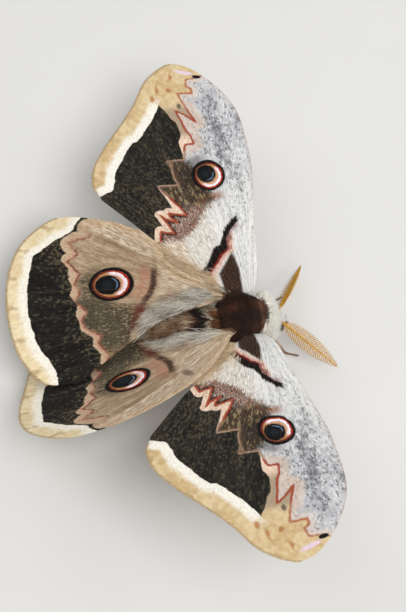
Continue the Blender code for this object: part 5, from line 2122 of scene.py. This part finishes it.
@dataclass
class Studio:
    """Pale floor, soft light and the camera at the photograph's angle."""

    elevation: float = 62.5
    azimuth: float = 22.8
    roll: float = -14.7
    distance: float = 300.7
    middle: Pair = (240.6, 318.1)
    frame: tuple[int, int] = (406, 612)
    view_angle: float = 30.0
    sensor: float = 36.0
    floor_radius: float = 2.5
    floor_corners: int = 96
    sky: float = 0.42

    def camera(self, place: Place) -> None:
        """Stands the camera where the photograph was taken from, turned with the moth onto the floor.

        The camera looks at the thorax from a direction given by elevation and azimuth, is rolled, and its
        shift puts the thorax at its pixel.

        Args:
            place: the change to the model's metres.
        """
        height, bearing, roll = (math.radians(q) for q in (self.elevation, self.azimuth, self.roll))
        level = math.cos(height)
        back = Vector((-level * math.cos(bearing), level * math.sin(bearing), math.sin(height)))
        right = Vector((1, 0, 0)).cross(back).normalized()
        up = back.cross(right)
        turned = right * math.cos(roll) + up * math.sin(roll)
        risen = up * math.cos(roll) - right * math.sin(roll)
        data = bpy.data.cameras.new("camera")
        data.sensor_width = self.sensor
        data.lens = self.sensor / 2 / math.tan(math.radians(self.view_angle / 2))
        data.shift_x = (self.frame[0] / 2 - self.middle[0]) / self.frame[1]
        data.shift_y = (self.middle[1] - self.frame[1] / 2) / self.frame[1]
        data.clip_start = 0.01
        obj = linked("camera", data)
        spot = Vector(place.metres(np.array(back) * self.distance))
        obj.matrix_world = Matrix.Translation(spot) @ Matrix((turned, risen, back)).transposed().to_4x4()
        bpy.context.scene.camera = obj

    def floor(self) -> None:
        """Lays a pale round floor."""
        around = np.linspace(0, 2 * math.pi, self.floor_corners, endpoint=False)
        ring = np.stack([np.cos(around), np.sin(around), 0 * around], -1) * self.floor_radius
        mesh = bpy.data.meshes.new("floor")
        mesh.from_pydata([tuple(p) for p in ring], [], [tuple(range(self.floor_corners))])
        obj = linked("floor", mesh)
        s = Shader("floor_pale")
        grain = s.noise(s.place(0.02), 1.0, 2.0)
        colour = s.mix(grain, (222, 221, 218), (228, 227, 224))
        mesh.materials.append(s.finish(colour, {"Roughness": 0.9}))

    def lights(self) -> None:
        """Hangs a broad key light, a fill and a back light, and lights the surroundings evenly."""
        for name, where, size, power in (
            ("key", (-0.55, -0.25, 0.95), 0.8, 8.0),
            ("fill", (0.75, 0.55, 0.7), 1.0, 3.0),
            ("back", (0.1, -0.9, 0.55), 0.7, 2.2),
        ):
            data = bpy.data.lights.new(name, "AREA")
            data.size = size
            data.energy = power
            obj = linked(name, data)
            obj.location = where
            obj.rotation_euler = (-Vector(where)).to_track_quat("-Z", "Y").to_euler()
        world = bpy.data.worlds.new("studio")
        world.use_nodes = True
        sky = world.node_tree.nodes["Background"]
        sky.inputs["Color"].default_value = (1.0, 1.0, 1.0, 1.0)
        sky.inputs["Strength"].default_value = self.sky
        bpy.context.scene.world = world
        bpy.context.scene.view_settings.view_transform = "Standard"


def main() -> None:
    """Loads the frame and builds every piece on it."""
    logging.basicConfig(level=logging.INFO, format="%(name)s %(message)s")
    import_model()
    place = Place.of_frame(EYE)
    scales = {
        False: ForewingScales("forewing_scales").material(),
        True: HindwingScales("hindwing_scales").material(),
    }
    wings = {}
    for name, pose in POSES.items():
        wing = Wing(name, SHAPES[name], pose)
        wing.build(place, scales[wing.hind])
        wings[name] = wing
    fur = FurFinish("body_fur").material()
    white = FurFinish("collar_fur", 0.12, 0.0).material()
    hair = FurFinish("wing_hair", 0.04, 0.05).material()
    body = Body()
    skin = body.build(place, FurFinish("body_skin", 0.1, 0.35).material())
    coats = (
        Coat("thorax_coat", Part.THORAX, "thorax_fur", 8600, 2.3, 0.19, 0.42, (0, 1, -0.15), 0.10, wings),
        Mantle("thorax_mantle", Part.THORAX, "thorax_fur", 5200, 3.9, 0.19, 0.50, (0, 1, 0), 0.0, wings),
        # The white collar and head hair take less painted shade at their roots.
        Ruff("collar_coat", Part.COLLAR, "collar_fur", 8700, 3.1, 0.22, 0.46, (0, -1, -0.05), 0.20, wings,
             root_painted_shade=0.85),
        Coat("head_coat", Part.HEAD, "head_fur", 4400, 1.4, 0.12, 0.50, (0, -1, -0.3), 0.20, wings,
             root_painted_shade=0.80),
        TailCoat("abdomen_coat", Part.ABDOMEN, "abdomen_fur", 8800, 3.9, 0.20, 0.45, (0, 1, -0.05), 0.22,
                 wings),
        LegCoat("leg_coat", Part.LEG, "leg", 4600, 1.5, 0.15, 0.40, (0, 0, -1), 0.0, {}),
    )
    for coat in coats:
        coat.lay(body, skin, place, white if coat.part in (Part.COLLAR, Part.HEAD) else fur)
    for name, wing in wings.items():
        if wing.hind:
            WingHair(wing, "hair", 4500, (-2.2, 16.0), (-5.0, 20.0), (2.8, 5.4), 0.17, fan=0.30,
                     pale=(250, 228, 194)).build(place, hair)
            WingHair(wing, "mane", 2300, (0.0, 14.0), (0.0, 16.0), (4.0, 7.5), 0.19,
                     strip=4.0, fan=0.25, lift=0.14).build(place, hair)
        else:
            # The forewing hair takes little brown and painted shade in the gaps between its locks.
            WingHair(wing, "hair", 1700, (1.0, 16.0), (6.0, 18.5), (1.6, 4.2), 0.14, fan=0.75,
                     outer=(250, 246, 236), gap_hair_and_shade=0.15, pale=(250, 222, 182)).build(place, hair)
        Fringe(wing).build(place, hair)
    horn = AntennaFinish().material()
    Antenna("antenna_left", Side.LEFT, (0.80, -0.53, -0.24), -34.0).build(place, horn)
    Antenna("antenna_right", Side.RIGHT, (-0.80, -0.60, -0.04)).build(place, horn)
    facets = EyeFinish().material()
    for side in Side:
        Eye(side).build(place, facets)
    studio = Studio()
    studio.floor()
    studio.lights()
    studio.camera(place)


if __name__ == "__main__":
    main()
